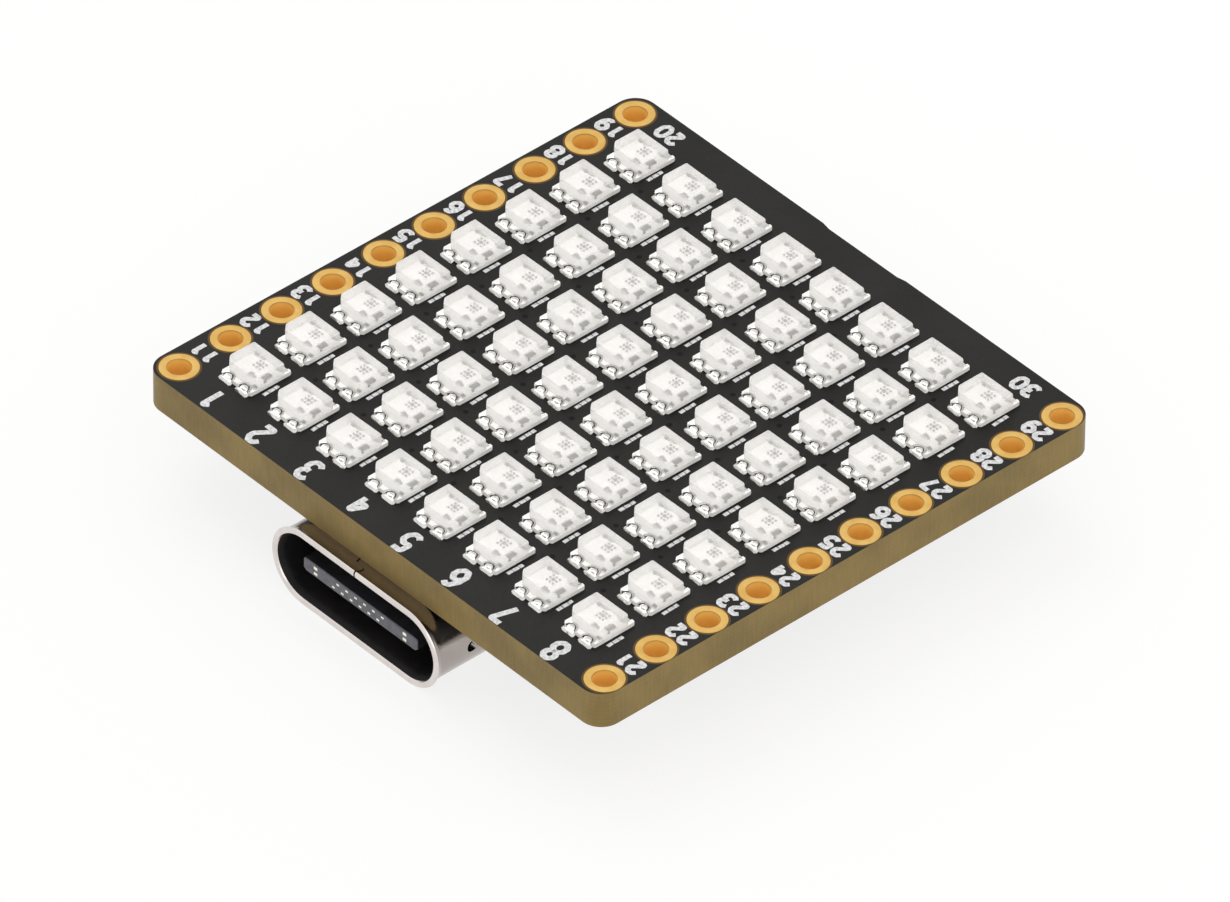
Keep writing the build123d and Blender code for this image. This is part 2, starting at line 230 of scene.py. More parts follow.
@dataclass(frozen=True)
class MaskedBoard(Finish):
    """Black photo-imaged solder mask over glass-epoxy laminate with routed edges.

    The eye gets a satin near-black face with faint waves where the copper runs below it, a brown
    ring of bare laminate round each pad, and an olive edge with the glass cloth's layers and the
    router's upright strokes.
    """

    cloth: str = "8C7849"
    resin: str = "74633C"
    bare: str = "5E4620"
    ply_mm: float = 0.2
    wave_mm: float = 1.2
    stroke_mm: float = 0.12
    stroke_stretch: float = 0.12
    cloud_mm: float = 2.2
    copper_mm: float = 1.0
    opening_radius: float = 0.87
    opening_fade: float = 0.03

    def hole_distance(self, tree: Tree, place: Source) -> Source:
        """Distance to the nearest header hole's axis, in metres."""
        axes = add_node(tree, AXES, (place,)).outputs
        sideways = add_node(tree, MATH, (axes["X"],), operation="ABSOLUTE")
        across = add_node(tree, MATH, (sideways, HEADER_X * MM), operation="SUBTRACT")
        pitches = add_node(tree, MATH, (axes["Y"], PIN_PITCH * MM), operation="DIVIDE")
        share = add_node(tree, MATH, (pitches,), operation="FRACT")
        centred = add_node(tree, MATH, (share, 0.5), operation="SUBTRACT")
        along = add_node(tree, MATH, (centred, PIN_PITCH * MM), operation="MULTIPLY")
        flat = add_node(tree, VECTOR, (across, along))
        return add_node(tree, VECTOR_MATH, (flat,), operation="LENGTH")

    def edge(self, tree: Tree, place: Source) -> Source:
        """Colour of the routed edge: layers of cloth, upright strokes and slow clouds."""
        level = add_node(tree, AXES, (place,)).outputs["Z"]
        noise = add_node(tree, NOISE, (place, 1 / (self.wave_mm * MM)))
        wave = add_node(tree, MATH, (noise, 0.35), operation="MULTIPLY")
        plies = add_node(tree, MATH, (level, self.ply_mm * MM), operation="DIVIDE")
        wavy = add_node(tree, MATH, (plies, wave), operation="ADD")
        folded = add_node(tree, MATH, (wavy, 0.5), operation="PINGPONG")
        layers = add_node(tree, RAMP, (folded, 0.05, 0.45), **SOFT)
        stretch = {"Vector": place, "Scale": (1.0, 1.0, self.stroke_stretch)}
        upright = add_node(tree, "ShaderNodeMapping", stretch)
        grooves = add_node(tree, NOISE, (upright, 1 / (self.stroke_mm * MM), 4.0))
        strokes = add_node(tree, RAMP, (grooves, 0.3, 0.7), **SOFT)
        cut = add_node(tree, MATH, (strokes, 0.25), operation="MULTIPLY")
        woven = add_node(tree, MATH, (layers, 0.12, cut), operation="MULTIPLY_ADD")
        drift = add_node(tree, NOISE, (place, 1 / (self.cloud_mm * MM), self.detail))
        clouds = add_node(tree, RAMP, (drift, 0.3, 0.7), **SOFT)
        share = add_node(tree, MATH, (clouds, 0.6, woven), operation="MULTIPLY_ADD")
        return add_node(
            tree, MIX, (share, linear(self.resin), linear(self.cloth)), data_type="RGBA"
        )

    def paint(self, tree: Tree, place: Source) -> Source:
        """Mask on the two faces, bare laminate round the pads and on the routed edges."""
        height = from_middle(tree, place)
        nearly_face = HALF_THICKNESS * MM - 4e-6
        on_face = add_node(tree, MATH, (height, nearly_face), operation="GREATER_THAN")
        rim = ((self.opening_radius - self.opening_fade) * MM, self.opening_radius * MM)
        distance = self.hole_distance(tree, place)
        opened = add_node(tree, RAMP, (distance, *rim, 1.0, 0.0), **SOFT)
        masked = super().paint(tree, place)
        face = add_node(tree, MIX, (opened, masked, linear(self.bare)), data_type="RGBA")
        return add_node(tree, MIX, (on_face, self.edge(tree, place), face), data_type="RGBA")

    def relief(self, tree: Tree, place: Source, grain: Source) -> Source:
        """Orange peel of the cured mask over slow waves from the copper below."""
        patches = add_node(tree, NOISE, (place, 1 / (self.copper_mm * MM), 0.0))
        copper = add_node(tree, RAMP, (patches, 0.48, 0.52), **SOFT)
        return add_node(tree, MATH, (copper, 2.5, grain), operation="MULTIPLY_ADD")


@dataclass(frozen=True)
class MilkyResin(Finish):
    """White-filled epoxy, transfer moulded over the light dies.

    The filler scatters the light, so faces look soft and the dies and the driver chip show through
    only as faint grey marks. The far walls show no view through, because the path through them is
    longer. The rounded rims show less view through, partly because the path through them is longer
    and partly as a painted highlight that makes them whiter.
    """

    clearness: float = 0.45
    lighting: float = 1.0
    glow_mm: float = 0.5
    passing: float = 0.12
    rim_filler: float = 0.55

    def surface(self, tree: Tree, shader: bpy.types.Node, place: Source) -> Source:
        """Scattering resin with a little clear view through it, which lets light in to the dies."""
        shader.inputs["Subsurface Weight"].default_value = 1.0
        shader.inputs["Subsurface Radius"].default_value = (1.0, 0.97, 0.94)
        shader.inputs["Subsurface Scale"].default_value = self.glow_mm * MM
        path = add_node(tree, "ShaderNodeLightPath").outputs
        lighting = add_node(
            tree, MATH, (path["Is Shadow Ray"], path["Is Diffuse Ray"]), operation="MAXIMUM"
        )
        lit = add_node(tree, MATH, (lighting, self.lighting), operation="MULTIPLY")
        geometry = add_node(tree, "ShaderNodeNewGeometry").outputs
        tilt = add_node(tree, AXES, (geometry["Normal"],)).outputs["Z"]
        not_side = add_node(tree, RAMP, (tilt, 0.15, 0.35), **SOFT)
        top = add_node(tree, RAMP, (tilt, 0.9, 0.98), **SOFT)
        rim = add_node(tree, MATH, (not_side, top), operation="SUBTRACT")
        # Painted highlight: the rims show less view through, so they read whiter
        filled = add_node(tree, MATH, (rim, self.rim_filler), operation="MULTIPLY")
        milky_there = add_node(tree, MATH, (filled, geometry["Backfacing"]), operation="MAXIMUM")
        seen = (milky_there, -self.clearness, self.clearness)
        clearness = add_node(tree, MATH, seen, operation="MULTIPLY_ADD")
        share = add_node(tree, MATH, (lit, clearness), operation="MAXIMUM")
        through = add_node(tree, "ShaderNodeBsdfTranslucent", (linear(self.colour),))
        milky = add_node(tree, MIX_SHADER, (self.passing, shader, through))
        clear = add_node(tree, "ShaderNodeBsdfTransparent")
        return add_node(tree, MIX_SHADER, (share, milky, clear))


@dataclass(frozen=True)
class PlatedGold(Finish):
    """Immersion gold over nickel on plated copper.

    The rings look satin and pale. The hole walls are painted a brighter, more orange gold: painted
    light for the light that comes up through the holes and that each wall throws on the other.
    """

    # Painted light: the walls' brighter, more orange gold
    wall: str = "F2C568"
    wall_end: float = 0.7

    def paint(self, tree: Tree, place: Source) -> Source:
        """Pale gold on the faces, and a brighter, deeper gold painted down the walls as painted light."""
        reach = (self.wall_end * MM, HALF_THICKNESS * MM)
        on_face = add_node(tree, RAMP, (from_middle(tree, place), *reach), **SOFT)
        ring = super().paint(tree, place)
        return add_node(tree, MIX, (on_face, linear(self.wall), ring), data_type="RGBA")


@dataclass(frozen=True)
class CappedChips(Finish):
    """Sintered ceramic chips whose two ends are dipped in silver and plated with tin.

    The ends are bright and the middle has the ceramic's matt colour, with a sharp line between.
    """

    middles: tuple[float, ...] = ()
    cap_edge: float = 0.25
    tin: str = "C9C8C4"

    def paint(self, tree: Tree, place: Source) -> Source:
        """Ceramic near each chip's middle, tin towards its ends."""
        share, body = self.cap_share(tree, place), super().paint(tree, place)
        return add_node(tree, MIX, (share, body, linear(self.tin)), data_type="RGBA")

    def cap_share(self, tree: Tree, place: Source) -> bpy.types.Node:
        """1 on the plated ends and 0 on the ceramic."""
        along = add_node(tree, AXES, (place,)).outputs["X"]
        nearest = None
        for middle in self.middles:
            offset = add_node(tree, MATH, (along, middle * MM), operation="SUBTRACT")
            reach = add_node(tree, MATH, (offset,), operation="ABSOLUTE")
            if nearest is None:
                nearest = reach
            else:
                nearest = add_node(tree, MATH, (nearest, reach), operation="MINIMUM")
        return add_node(tree, MATH, (nearest, self.cap_edge * MM), operation="GREATER_THAN")

    def surface(self, tree: Tree, shader: bpy.types.Node, place: Source) -> Source:
        """Metal only where the ends are plated."""
        tree.links.new(self.cap_share(tree, place).outputs[0], shader.inputs["Metallic"])
        return shader


@dataclass(frozen=True)
class FloorPaint(Finish):
    """Matt white studio floor.

    The camera and the shiny metal see it as mostly plain white, and it keeps a faint shadow.
    """

    plainness: float = 0.8

    def surface(self, tree: Tree, shader: bpy.types.Node, place: Source) -> Source:
        """Mix the lit floor with plain white where it is seen, and open it from below."""
        share = add_node(tree, MATH, (plain_rays(tree), self.plainness), operation="MULTIPLY")
        white = add_node(tree, "ShaderNodeEmission", ((1.0, 1.0, 1.0, 1.0), 1.0))
        above = add_node(tree, MIX_SHADER, (share, shader, white))
        below = add_node(tree, "ShaderNodeNewGeometry").outputs["Backfacing"]
        clear = add_node(tree, "ShaderNodeBsdfTransparent")
        return add_node(tree, MIX_SHADER, (below, above, clear))


class Finishes(Enum):
    """Every finish on the board. Each is named for its material and how its surface was made, and some
    also for the light or shade painted on them.
    """

    # Screened-on black mask: satin, nearly neutral, with a slow drift in tone
    SOLDER_MASK = MaskedBoard(
        "solder_mask_satin_black", "171614", "1D1C1A", 0.42, specular=0.15, blotch_mm=4.0,
        grain_mm=0.12, relief_mm=0.0012,
    )  # fmt: skip
    # The same mask where it rises over a copper track
    MASKED_COPPER = Finish(
        "solder_mask_over_copper", "1D1B19", "252220", 0.38, specular=0.2, blotch_mm=3.0,
        grain_mm=0.12, relief_mm=0.001,
    )  # fmt: skip
    # A via under the mask: the film dips over the hole and looks darker
    TENTED_VIA = Finish(
        "solder_mask_over_via", "0D0C0B", "131211", 0.5, specular=0.1, blotch_mm=0.2,
        grain_mm=0.1, relief_mm=0.001,
    )  # fmt: skip
    GOLD = PlatedGold(
        "immersion_gold", "DAB466", "D2A858", 0.55, metallic=0.3, specular=0.3, blotch_mm=0.6,
        grain_mm=0.05, relief_mm=0.003,
    )  # fmt: skip
    # Epoxy ink pushed through a screen: matt white with ragged thin spots
    INK = Finish(
        "screened_white_ink", "E4E4E6", "C2C3C6", 0.7, specular=0.2, blotch_mm=0.12,
        grain_mm=0.06, relief_mm=0.008,
    )  # fmt: skip
    LENS = MilkyResin(
        "moulded_milky_epoxy", "F6F4F2", "F0EEEC", 0.24, specular=0.5, blotch_mm=0.9,
        grain_mm=0.06, relief_mm=0.0015,
    )  # fmt: skip
    # White-filled laminate, sawn apart: matt, a little rougher than the resin on it
    LED_LAMINATE = Finish(
        "sawn_white_laminate", "FAF9F7", "F3F1EE", 0.6, blotch_mm=0.3, grain_mm=0.05,
        relief_mm=0.004,
    )  # fmt: skip
    # Silicon and compound semiconductor, diced: dark and smooth
    LIGHT_DIE = Finish(
        "diced_semiconductor", "2C2B30", "38373B", 0.3, blotch_mm=0.2, relief_mm=0.001,
    )  # fmt: skip
    # Driver chip with its metal layers, which look pinkish
    DRIVER_CHIP = Finish(
        "diced_driver_chip", "6E5A5C", "574A4D", 0.35, blotch_mm=0.1, relief_mm=0.001,
    )  # fmt: skip
    # Lead-free solder that has melted and wetted its pads: mirror bright with a slight frost
    SOLDER = Finish(
        "reflowed_solder", "E3E1DD", "D2D0CB", 0.16, metallic=1.0, blotch_mm=0.2, grain_mm=0.05,
        relief_mm=0.003, gloss_spread=0.05,
    )  # fmt: skip
    # Painted shade: a dark line painted in the crease between the solder and the plated notch
    SOLDER_CREASE = Finish(
        "painted_shade_in_the_crease", "2C2A27", "1E1C1A", 0.4, specular=0.3, blotch_mm=0.1,
        grain_mm=0.05, relief_mm=0.002,
    )  # fmt: skip
    # Nickel on folded stainless steel: bright with a faint warm cast and fine rolling marks
    NICKEL_STEEL = Finish(
        "nickel_plated_steel", "B4ACA7", "ABA39E", 0.2, metallic=1.0, blotch_mm=2.4,
        grain_mm=0.07, relief_mm=0.0008, gloss_spread=0.05,
    )  # fmt: skip
    # The mouth's plated cut edge, painted brighter than the rolled face: a painted highlight where the
    # rounded lip catches the light
    MOUTH_EDGE = Finish(
        "nickel_edge_painted_highlight", "E2DAD6", "DAD2CE", 0.25, metallic=1.0, blotch_mm=0.6,
        grain_mm=0.05, relief_mm=0.0008,
    )  # fmt: skip
    # The same sheet on the shell's inner faces, painted dark: painted shade for the inside of the mouth,
    # which sees little light
    SHADED_STEEL = Finish(
        "steel_inside_painted_shade", "1E1C1C", "161515", 0.55, specular=0.15, blotch_mm=0.8,
        relief_mm=0.002,
    )  # fmt: skip
    # Glass-filled liquid crystal polymer, moulded: black and matt with flow marks
    INSULATOR = Finish(
        "moulded_crystal_polymer", "18181B", "222226", 0.55, specular=0.2, blotch_mm=0.4,
        grain_mm=0.05, relief_mm=0.004,
    )  # fmt: skip
    # The same polymer on the tongue's nose, painted paler: painted light where the light falls on the
    # nose
    INSULATOR_NOSE = Finish(
        "polymer_nose_painted_light", "68686F", "5A5A61", 0.5, specular=0.3, blotch_mm=0.3,
        grain_mm=0.05, relief_mm=0.004,
    )  # fmt: skip
    # Palladium-nickel flash on stamped copper alloy: pale and bright
    CONTACT = Finish(
        "flashed_copper_alloy", "FBF8E8", "F2EDD6", 0.3, metallic=0.4, blotch_mm=0.3,
        relief_mm=0.0005,
    )  # fmt: skip
    # Black epoxy compound, transfer moulded: charcoal with a fine sparkle of filler
    PACKAGE_RESIN = Finish(
        "moulded_black_epoxy", "252528", "1D1D20", 0.55, specular=0.35, blotch_mm=0.8,
        grain_mm=0.09, relief_mm=0.007,
    )  # fmt: skip
    # Matt electroplated tin on stamped copper
    TIN = Finish(
        "matt_tin_plate", "C9C8C4", "B9B8B3", 0.38, metallic=1.0, blotch_mm=0.3, grain_mm=0.04,
        relief_mm=0.003,
    )  # fmt: skip
    # Pressed and fired ferrite: dark grey and chalky
    FERRITE = Finish(
        "fired_ferrite", "4B4B4E", "3C3C3F", 0.75, blotch_mm=0.25, grain_mm=0.05,
        relief_mm=0.01,
    )  # fmt: skip
    CAPACITOR = CappedChips(
        "fired_barium_ceramic", "A88661", "947452", 0.42, blotch_mm=0.3, relief_mm=0.004,
        middles=spread(CHIPS_PER_ROW, CHIP_PITCH, CAPACITOR_X),
    )  # fmt: skip
    RESISTOR = CappedChips(
        "glazed_thick_film", "1F1F23", "2A2A2F", 0.3, blotch_mm=0.3, relief_mm=0.003,
        middles=spread(CHIPS_PER_ROW, CHIP_PITCH, RESISTOR_X),
    )  # fmt: skip
    # Fired alumina header, dark under its lid
    CRYSTAL_BASE = Finish(
        "fired_dark_alumina", "35322E", "292724", 0.6, blotch_mm=0.4, relief_mm=0.006,
    )  # fmt: skip
    # Nickel-iron lid, seam welded: satin with a straw tint near the weld
    CRYSTAL_LID = Finish(
        "seam_welded_lid", "CDC8B8", "BFB8A2", 0.28, metallic=1.0, blotch_mm=0.9,
        relief_mm=0.003,
    )  # fmt: skip
    BUTTON_BASE = Finish(
        "moulded_black_nylon", "242426", "1C1C1E", 0.5, blotch_mm=0.6, relief_mm=0.006,
    )  # fmt: skip
    # Natural-colour nylon, moulded and slightly waxy
    PLUNGER = Finish(
        "moulded_ivory_nylon", "D9D3C2", "CBC4B0", 0.42, blotch_mm=0.5, relief_mm=0.004,
    )  # fmt: skip
    # Stamped stainless sheet: satin with a rolled grain
    BUTTON_STEEL = Finish(
        "stamped_stainless_steel", "CFCDC8", "BEBBB5", 0.3, metallic=1.0, blotch_mm=0.7,
        grain_mm=0.05, relief_mm=0.003,
    )  # fmt: skip
    FLOOR = FloorPaint(
        "matt_white_floor", "FBFBFB", "F8F8F8", 0.8, specular=0.0, blotch_mm=60.0, grain_mm=2.0,
        relief_mm=0.001,
    )  # fmt: skip

    @property
    def material(self) -> bpy.types.Material:
        """The finish's Blender material."""
        return self.value.material()


BUTTON_FINISHES: dict[str, Finishes] = {
    "base": Finishes.BUTTON_BASE,
    "plunger": Finishes.PLUNGER,
    "dome": Finishes.BUTTON_STEEL,
    "cover": Finishes.BUTTON_STEEL,
    "leads": Finishes.TIN,
}
NODE_FINISHES: dict[str, Finishes] = {
    "circuit_board": Finishes.SOLDER_MASK,
    "usb_mid_plate": Finishes.NICKEL_STEEL,
    "controller": Finishes.PACKAGE_RESIN,
    "flash_memory": Finishes.PACKAGE_RESIN,
    "regulator_body": Finishes.PACKAGE_RESIN,
    "regulator_leads": Finishes.TIN,
    "inductor": Finishes.FERRITE,
    "crystal_base": Finishes.CRYSTAL_BASE,
    "crystal_lid": Finishes.CRYSTAL_LID,
    "capacitors": Finishes.CAPACITOR,
    "resistors": Finishes.RESISTOR,
} | {
    f"{button}_button_{part}": finish
    for button in BUTTONS
    for part, finish in BUTTON_FINISHES.items()
}


# Meshes


class Shape:
    """A mesh in the making, in millimetres."""

    def __init__(self) -> None:
        """Start empty."""
        self.bm = bmesh.new()

    def slab(self, foot: Path, top: Path, low: float, high: float) -> list[bmesh.types.BMEdge]:
        """Add a solid between two outlines with the same number of points.

        Args:
            foot: Outline at the low level, anticlockwise from above.
            top: Outline at the high level.
            low: Lower level.
            high: Upper level.

        Returns:
            The upright edges, then the edges round the top.
        """
        below = [self.bm.verts.new((x, y, low)) for x, y in foot]
        above = [self.bm.verts.new((x, y, high)) for x, y in top]
        self.bm.faces.new(list(reversed(below)))
        cap = self.bm.faces.new(above)
        count = len(below)
        for k in range(count):
            m = (k + 1) % count
            self.bm.faces.new((below[k], below[m], above[m], above[k]))
        return [self.bm.edges.get(pair) for pair in zip(below, above)] + list(cap.edges)

    def box(self, low: Point, high: Point) -> None:
        """Add a box between two corners."""
        corners = [(low[0], low[1]), (high[0], low[1]), (high[0], high[1]), (low[0], high[1])]
        self.slab(corners, corners, low[2], high[2])

    def grid(
        self, rows: Rows, closed: bool = False, capped: bool = False
    ) -> list[list[bmesh.types.BMVert]]:
        """Add a surface through rows of points.

        Args:
            rows: Rows with the same number of points each.
            closed: Whether the last row joins the first.
            capped: Whether the first and the last row, each a ring, get a face.

        Returns:
            The vertices, row by row.
        """
        verts = [[self.bm.verts.new(point) for point in row] for row in rows]
        for k in range(len(rows) if closed else len(rows) - 1):
            near, far = verts[k], verts[(k + 1) % len(rows)]
            for m in range(len(near) - 1):
                self.bm.faces.new((near[m], near[m + 1], far[m + 1], far[m]))
        if capped:
            for ring in (verts[0], verts[-1]):
                self.bm.faces.new(ring[:-1])
        return verts

    def spin(self, profile: Path, sides: int, centre: tuple[float, float] = (0, 0)) -> None:
        """Turn a closed profile of radius and height about an upright axis."""
        rings = []
        for k in range(sides):
            angle = 2 * math.pi * k / sides
            away = (math.cos(angle), math.sin(angle))
            ring = [(centre[0] + r * away[0], centre[1] + r * away[1], z) for r, z in profile]
            rings.append([self.bm.verts.new(point) for point in ring])
        count = len(profile)
        for k in range(sides):
            near, far = rings[k], rings[(k + 1) % sides]
            for m in range(count):
                n = (m + 1) % count
                self.bm.faces.new((near[m], far[m], far[n], near[n]))

    def mesh(self, name: str, crease: float = 35.0) -> bpy.types.Mesh:
        """Finish the shape as a mesh in metres, smooth except at edges sharper than the crease.

        Args:
            name: Name of the mesh.
            crease: Angle in degrees above which an edge stays sharp.

        Returns:
            The new mesh.
        """
        bmesh.ops.remove_doubles(self.bm, verts=self.bm.verts, dist=1e-5)
        bmesh.ops.recalc_face_normals(self.bm, faces=self.bm.faces)
        made = bpy.data.meshes.new(name)
        self.bm.to_mesh(made)
        self.bm.free()
        made.transform(Matrix.Scale(MM, 4))
        smooth(made, crease)
        return made


def round_off(
    bm: bmesh.types.BMesh, edges: Sequence[bmesh.types.BMEdge], radius: float
) -> None:
    """Round edges with two faces each, by less than the radius where they come too close."""
    bmesh.ops.bevel(
        bm, geom=edges, offset=radius, segments=2, affect="EDGES", profile=0.5, clamp_overlap=True
    )


def smooth(mesh: bpy.types.Mesh, crease: float = 35.0) -> None:
    """Shade a mesh smooth except at edges sharper than the crease, in degrees."""
    mesh.polygons.foreach_set("use_smooth", [True] * len(mesh.polygons))
    mesh.set_sharp_from_angle(angle=math.radians(crease))
    mesh.update()


def dress(mesh: bpy.types.Mesh, *finishes: Finishes) -> bpy.types.Mesh:
    """Give a mesh these finishes, in the order of its faces' material numbers, and return it."""
    if mesh.materials:
        mesh.materials.clear()
    for finish in finishes:
        mesh.materials.append(finish.material)
    return mesh


def new_object(name: str, data: bpy.types.ID) -> bpy.types.Object:
    """Make an object of this data and put it in the scene."""
    made = bpy.data.objects.new(name, data)
    bpy.context.scene.collection.objects.link(made)
    return made


def plain_mesh(holder: bpy.types.Object) -> bpy.types.Mesh:
    """Turn an object with modifiers into a plain mesh, and remove the object."""
    graph = bpy.context.evaluated_depsgraph_get()
    made = bpy.data.meshes.new_from_object(holder.evaluated_get(graph), depsgraph=graph)
    holder.modifiers.clear()
    bpy.data.objects.remove(holder)
    return made


def join(name: str, meshes: Sequence[bpy.types.Mesh]) -> bpy.types.Mesh:
    """Put several meshes with the same material into one and remove them.

    Args:
        name: Name of the new mesh.
        meshes: The meshes.

    Returns:
        The joined mesh.
    """
    bm = bmesh.new()
    for part in meshes:
        bm.from_mesh(part)
    made = bpy.data.meshes.new(name)
    bm.to_mesh(made)
    bm.free()
    for material in meshes[0].materials:
        made.materials.append(material)
    for part in meshes:
        bpy.data.meshes.remove(part)
    smooth(made)
    return made


def node_box(node: str) -> tuple[Point, Point]:
    """Two opposite corners of a CAD node's box, in millimetres."""
    low, high = (tuple(value / MM for value in corner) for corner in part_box(node))
    return low, high


def add_piece(
    name: str,
    mesh: bpy.types.Mesh,
    replaced: Sequence[str] = (),
    body: str = "board",
) -> None:
    """Put a dressed mesh in the scene as a piece of the object.

    Args:
        name: Name of the piece.
        mesh: Its mesh, in metres and in place, with its materials.
        replaced: CAD nodes that it stands for.
        body: The CAD body that it moves with.
    """
    piece = new_object(name, mesh)
    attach(piece, body)
    if replaced:
        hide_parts(*replaced)
    log.info("%s: %d faces on %s", name, len(mesh.polygons), body)


# Geometry Nodes


class NodeTrees:
    """The two Geometry Nodes trees: copies on a grid, and a raised line along paths."""

    COPIES = {
        "Columns": "Int",
        "Rows": "Int",
        "Column pitch": "Float",
        "Row pitch": "Float",
        "Centre": "Vector",
        "Slip": "Float",
        "Twist": "Float",
        "Unevenness": "Float",
        "Grain": "Float",
        "Seed": "Int",
        "Finish": "Material",
    }
    LINES = {
        "Width": "Float",
        "Flatness": "Float",
        "Corner": "Float",
        "Lift": "Float",
        "Finish": "Material",
    }

    @staticmethod
    def start(name: str, sizes: dict[str, str]) -> tuple[Tree, Any]:
        """Make a tree with a geometry in and out and these named inputs.

        Args:
            name: Name of the tree.
            sizes: Name and kind of each further input.

        Returns:
            The tree, and its group input's sockets.
        """
        tree = bpy.data.node_groups.new(name, "GeometryNodeTree")
        for label, kind in ({"Template": "Geometry"} | sizes).items():
            tree.interface.new_socket(label, in_out="INPUT", socket_type=f"NodeSocket{kind}")
        tree.interface.new_socket("Result", in_out="OUTPUT", socket_type="NodeSocketGeometry")
        return tree, add_node(tree, "NodeGroupInput").outputs

    @staticmethod
    def end(tree: Tree, geometry: Source, finish: Source) -> Tree:
        """Give the tree's result its finish, and return the tree."""
        sockets = {"Geometry": geometry, "Material": finish}
        add_node(tree, "NodeGroupOutput", (add_node(tree, "GeometryNodeSetMaterial", sockets),))
        return tree

    @classmethod
    def copies(cls) -> Tree:
        """Tree that sets its template on a grid, each copy placed and turned slightly off."""
        tree, given = cls.start("copies_on_a_grid", cls.COPIES)
        spans = []
        for way in ("Column", "Row"):
            gaps = add_node(tree, MATH, (given[f"{way}s"], 1), operation="SUBTRACT")
            spans.append(add_node(tree, MATH, (given[f"{way} pitch"], gaps), operation="MULTIPLY"))
        points = add_node(tree, "GeometryNodeMeshGrid", (*spans, given["Columns"], given["Rows"]))
        slip = add_node(tree, VECTOR, (given["Slip"], given["Slip"]))
        back = add_node(tree, VECTOR_MATH, (slip, -1.0), operation="SCALE")
        slips = {0: back, 1: slip, "Seed": given["Seed"]}
        moved = add_node(tree, "FunctionNodeRandomValue", slips, data_type="FLOAT_VECTOR")
        away = add_node(tree, VECTOR_MATH, (moved, given["Centre"]), operation="ADD")
        placing = {"Geometry": points, "Offset": away}
        placed = add_node(tree, "GeometryNodeSetPosition", placing)
        twists = {
            2: add_node(tree, MATH, (given["Twist"], -1.0), operation="MULTIPLY"),
            3: given["Twist"],
            "Seed": add_node(tree, MATH, (given["Seed"], 1), operation="ADD"),
        }
        turn = add_node(tree, "FunctionNodeRandomValue", twists, data_type="FLOAT")
        setting = {
            "Points": placed,
            "Instance": given["Template"],
            "Rotation": add_node(tree, VECTOR, {"Z": turn}),
        }
        copies = add_node(tree, "GeometryNodeInstanceOnPoints", setting)
        real = add_node(tree, "GeometryNodeRealizeInstances", (copies,))
        wave = add_node(tree, NOISE, {"Scale": given["Grain"], "Detail": 1.0}).outputs["Color"]
        centred = add_node(tree, VECTOR_MATH, (wave, (0.5, 0.5, 0.5)), operation="SUBTRACT")
        rough = add_node(tree, VECTOR_MATH, (centred, given["Unevenness"]), operation="SCALE")
        roughening = {"Geometry": real, "Offset": rough}
        uneven = add_node(tree, "GeometryNodeSetPosition", roughening)
        return cls.end(tree, uneven, given["Finish"])

    @classmethod
    def lines(cls) -> Tree:
        """Tree that lays a low rounded ridge along its template's paths."""
        tree, given = cls.start("raised_lines", cls.LINES)
        paths = add_node(tree, "GeometryNodeMeshToCurve", (given["Template"],))
        corners = {"Curve": paths, "Radius": given["Corner"], "Limit Radius": True, "Count": 3}
        rounded = add_node(tree, "GeometryNodeFilletCurve", corners, mode="POLY")
        radius = add_node(tree, MATH, (given["Width"], 0.5), operation="MULTIPLY")
        profile = add_node(tree, "GeometryNodeCurvePrimitiveCircle", (8, radius))
        sweep = {"Curve": rounded, "Profile Curve": profile, "Fill Caps": True}
        ridge = add_node(tree, "GeometryNodeCurveToMesh", sweep)
        laying = {
            "Geometry": ridge,
            "Scale": add_node(tree, VECTOR, (1.0, 1.0, given["Flatness"])),
            "Translation": add_node(tree, VECTOR, {"Z": given["Lift"]}),
        }
        laid = add_node(tree, "GeometryNodeTransform", laying)
        real = add_node(tree, "GeometryNodeRealizeInstances", (laid,))
        return cls.end(tree, real, given["Finish"])


def grow(
    template: bpy.types.Mesh, tree: Tree, sizes: dict[str, Any], crease: float = 35.0
) -> bpy.types.Mesh:
    """Run a Geometry Nodes tree on a template and keep the result as a plain mesh.

    Args:
        template: The mesh that the tree starts from.
        tree: The tree.
        sizes: A value for each of the tree's named inputs.
        crease: Angle in degrees above which an edge stays sharp.

    Returns:
        The plain mesh, with its material.
    """
    holder = new_object("holder", template)
    modifier = holder.modifiers.new("nodes", "NODES")
    modifier.node_group = tree
    for item in tree.interface.items_tree:
        if item.in_out == "INPUT" and item.name in sizes:
            modifier[item.identifier] = sizes[item.name]
    made = plain_mesh(holder)
    bpy.data.meshes.remove(template)
    smooth(made, crease)
    return made


@dataclass
class Grid:
    """A grid of copies of one template, in millimetres."""

    columns: int
    rows: int
    column_pitch: float
    row_pitch: float
    centre: Point = (0.0, 0.0, 0.0)
    slip: float = 0.0
    twist_degrees: float = 0.0
    unevenness: float = 0.0
    grain: float = 0.3
    seed: int = 0

    def fill(self, template: bpy.types.Mesh, tree: Tree, finish: Finishes) -> bpy.types.Mesh:
        """Set the template on the grid.

        Args:
            template: Mesh of one copy, about the origin.
            tree: The copying tree.
            finish: Finish of the copies.

        Returns:
            One mesh with all the copies.
        """
        sizes = {
            "Columns": self.columns,
            "Rows": self.rows,
            "Column pitch": self.column_pitch * MM,
            "Row pitch": self.row_pitch * MM,
            "Centre": tuple(value * MM for value in self.centre),
            "Slip": self.slip * MM,
            "Twist": math.radians(self.twist_degrees),
            "Unevenness": self.unevenness * MM,
            "Grain": 1 / (self.grain * MM),
            "Seed": self.seed,
            "Finish": finish.material,
        }
        return grow(template, tree, sizes)


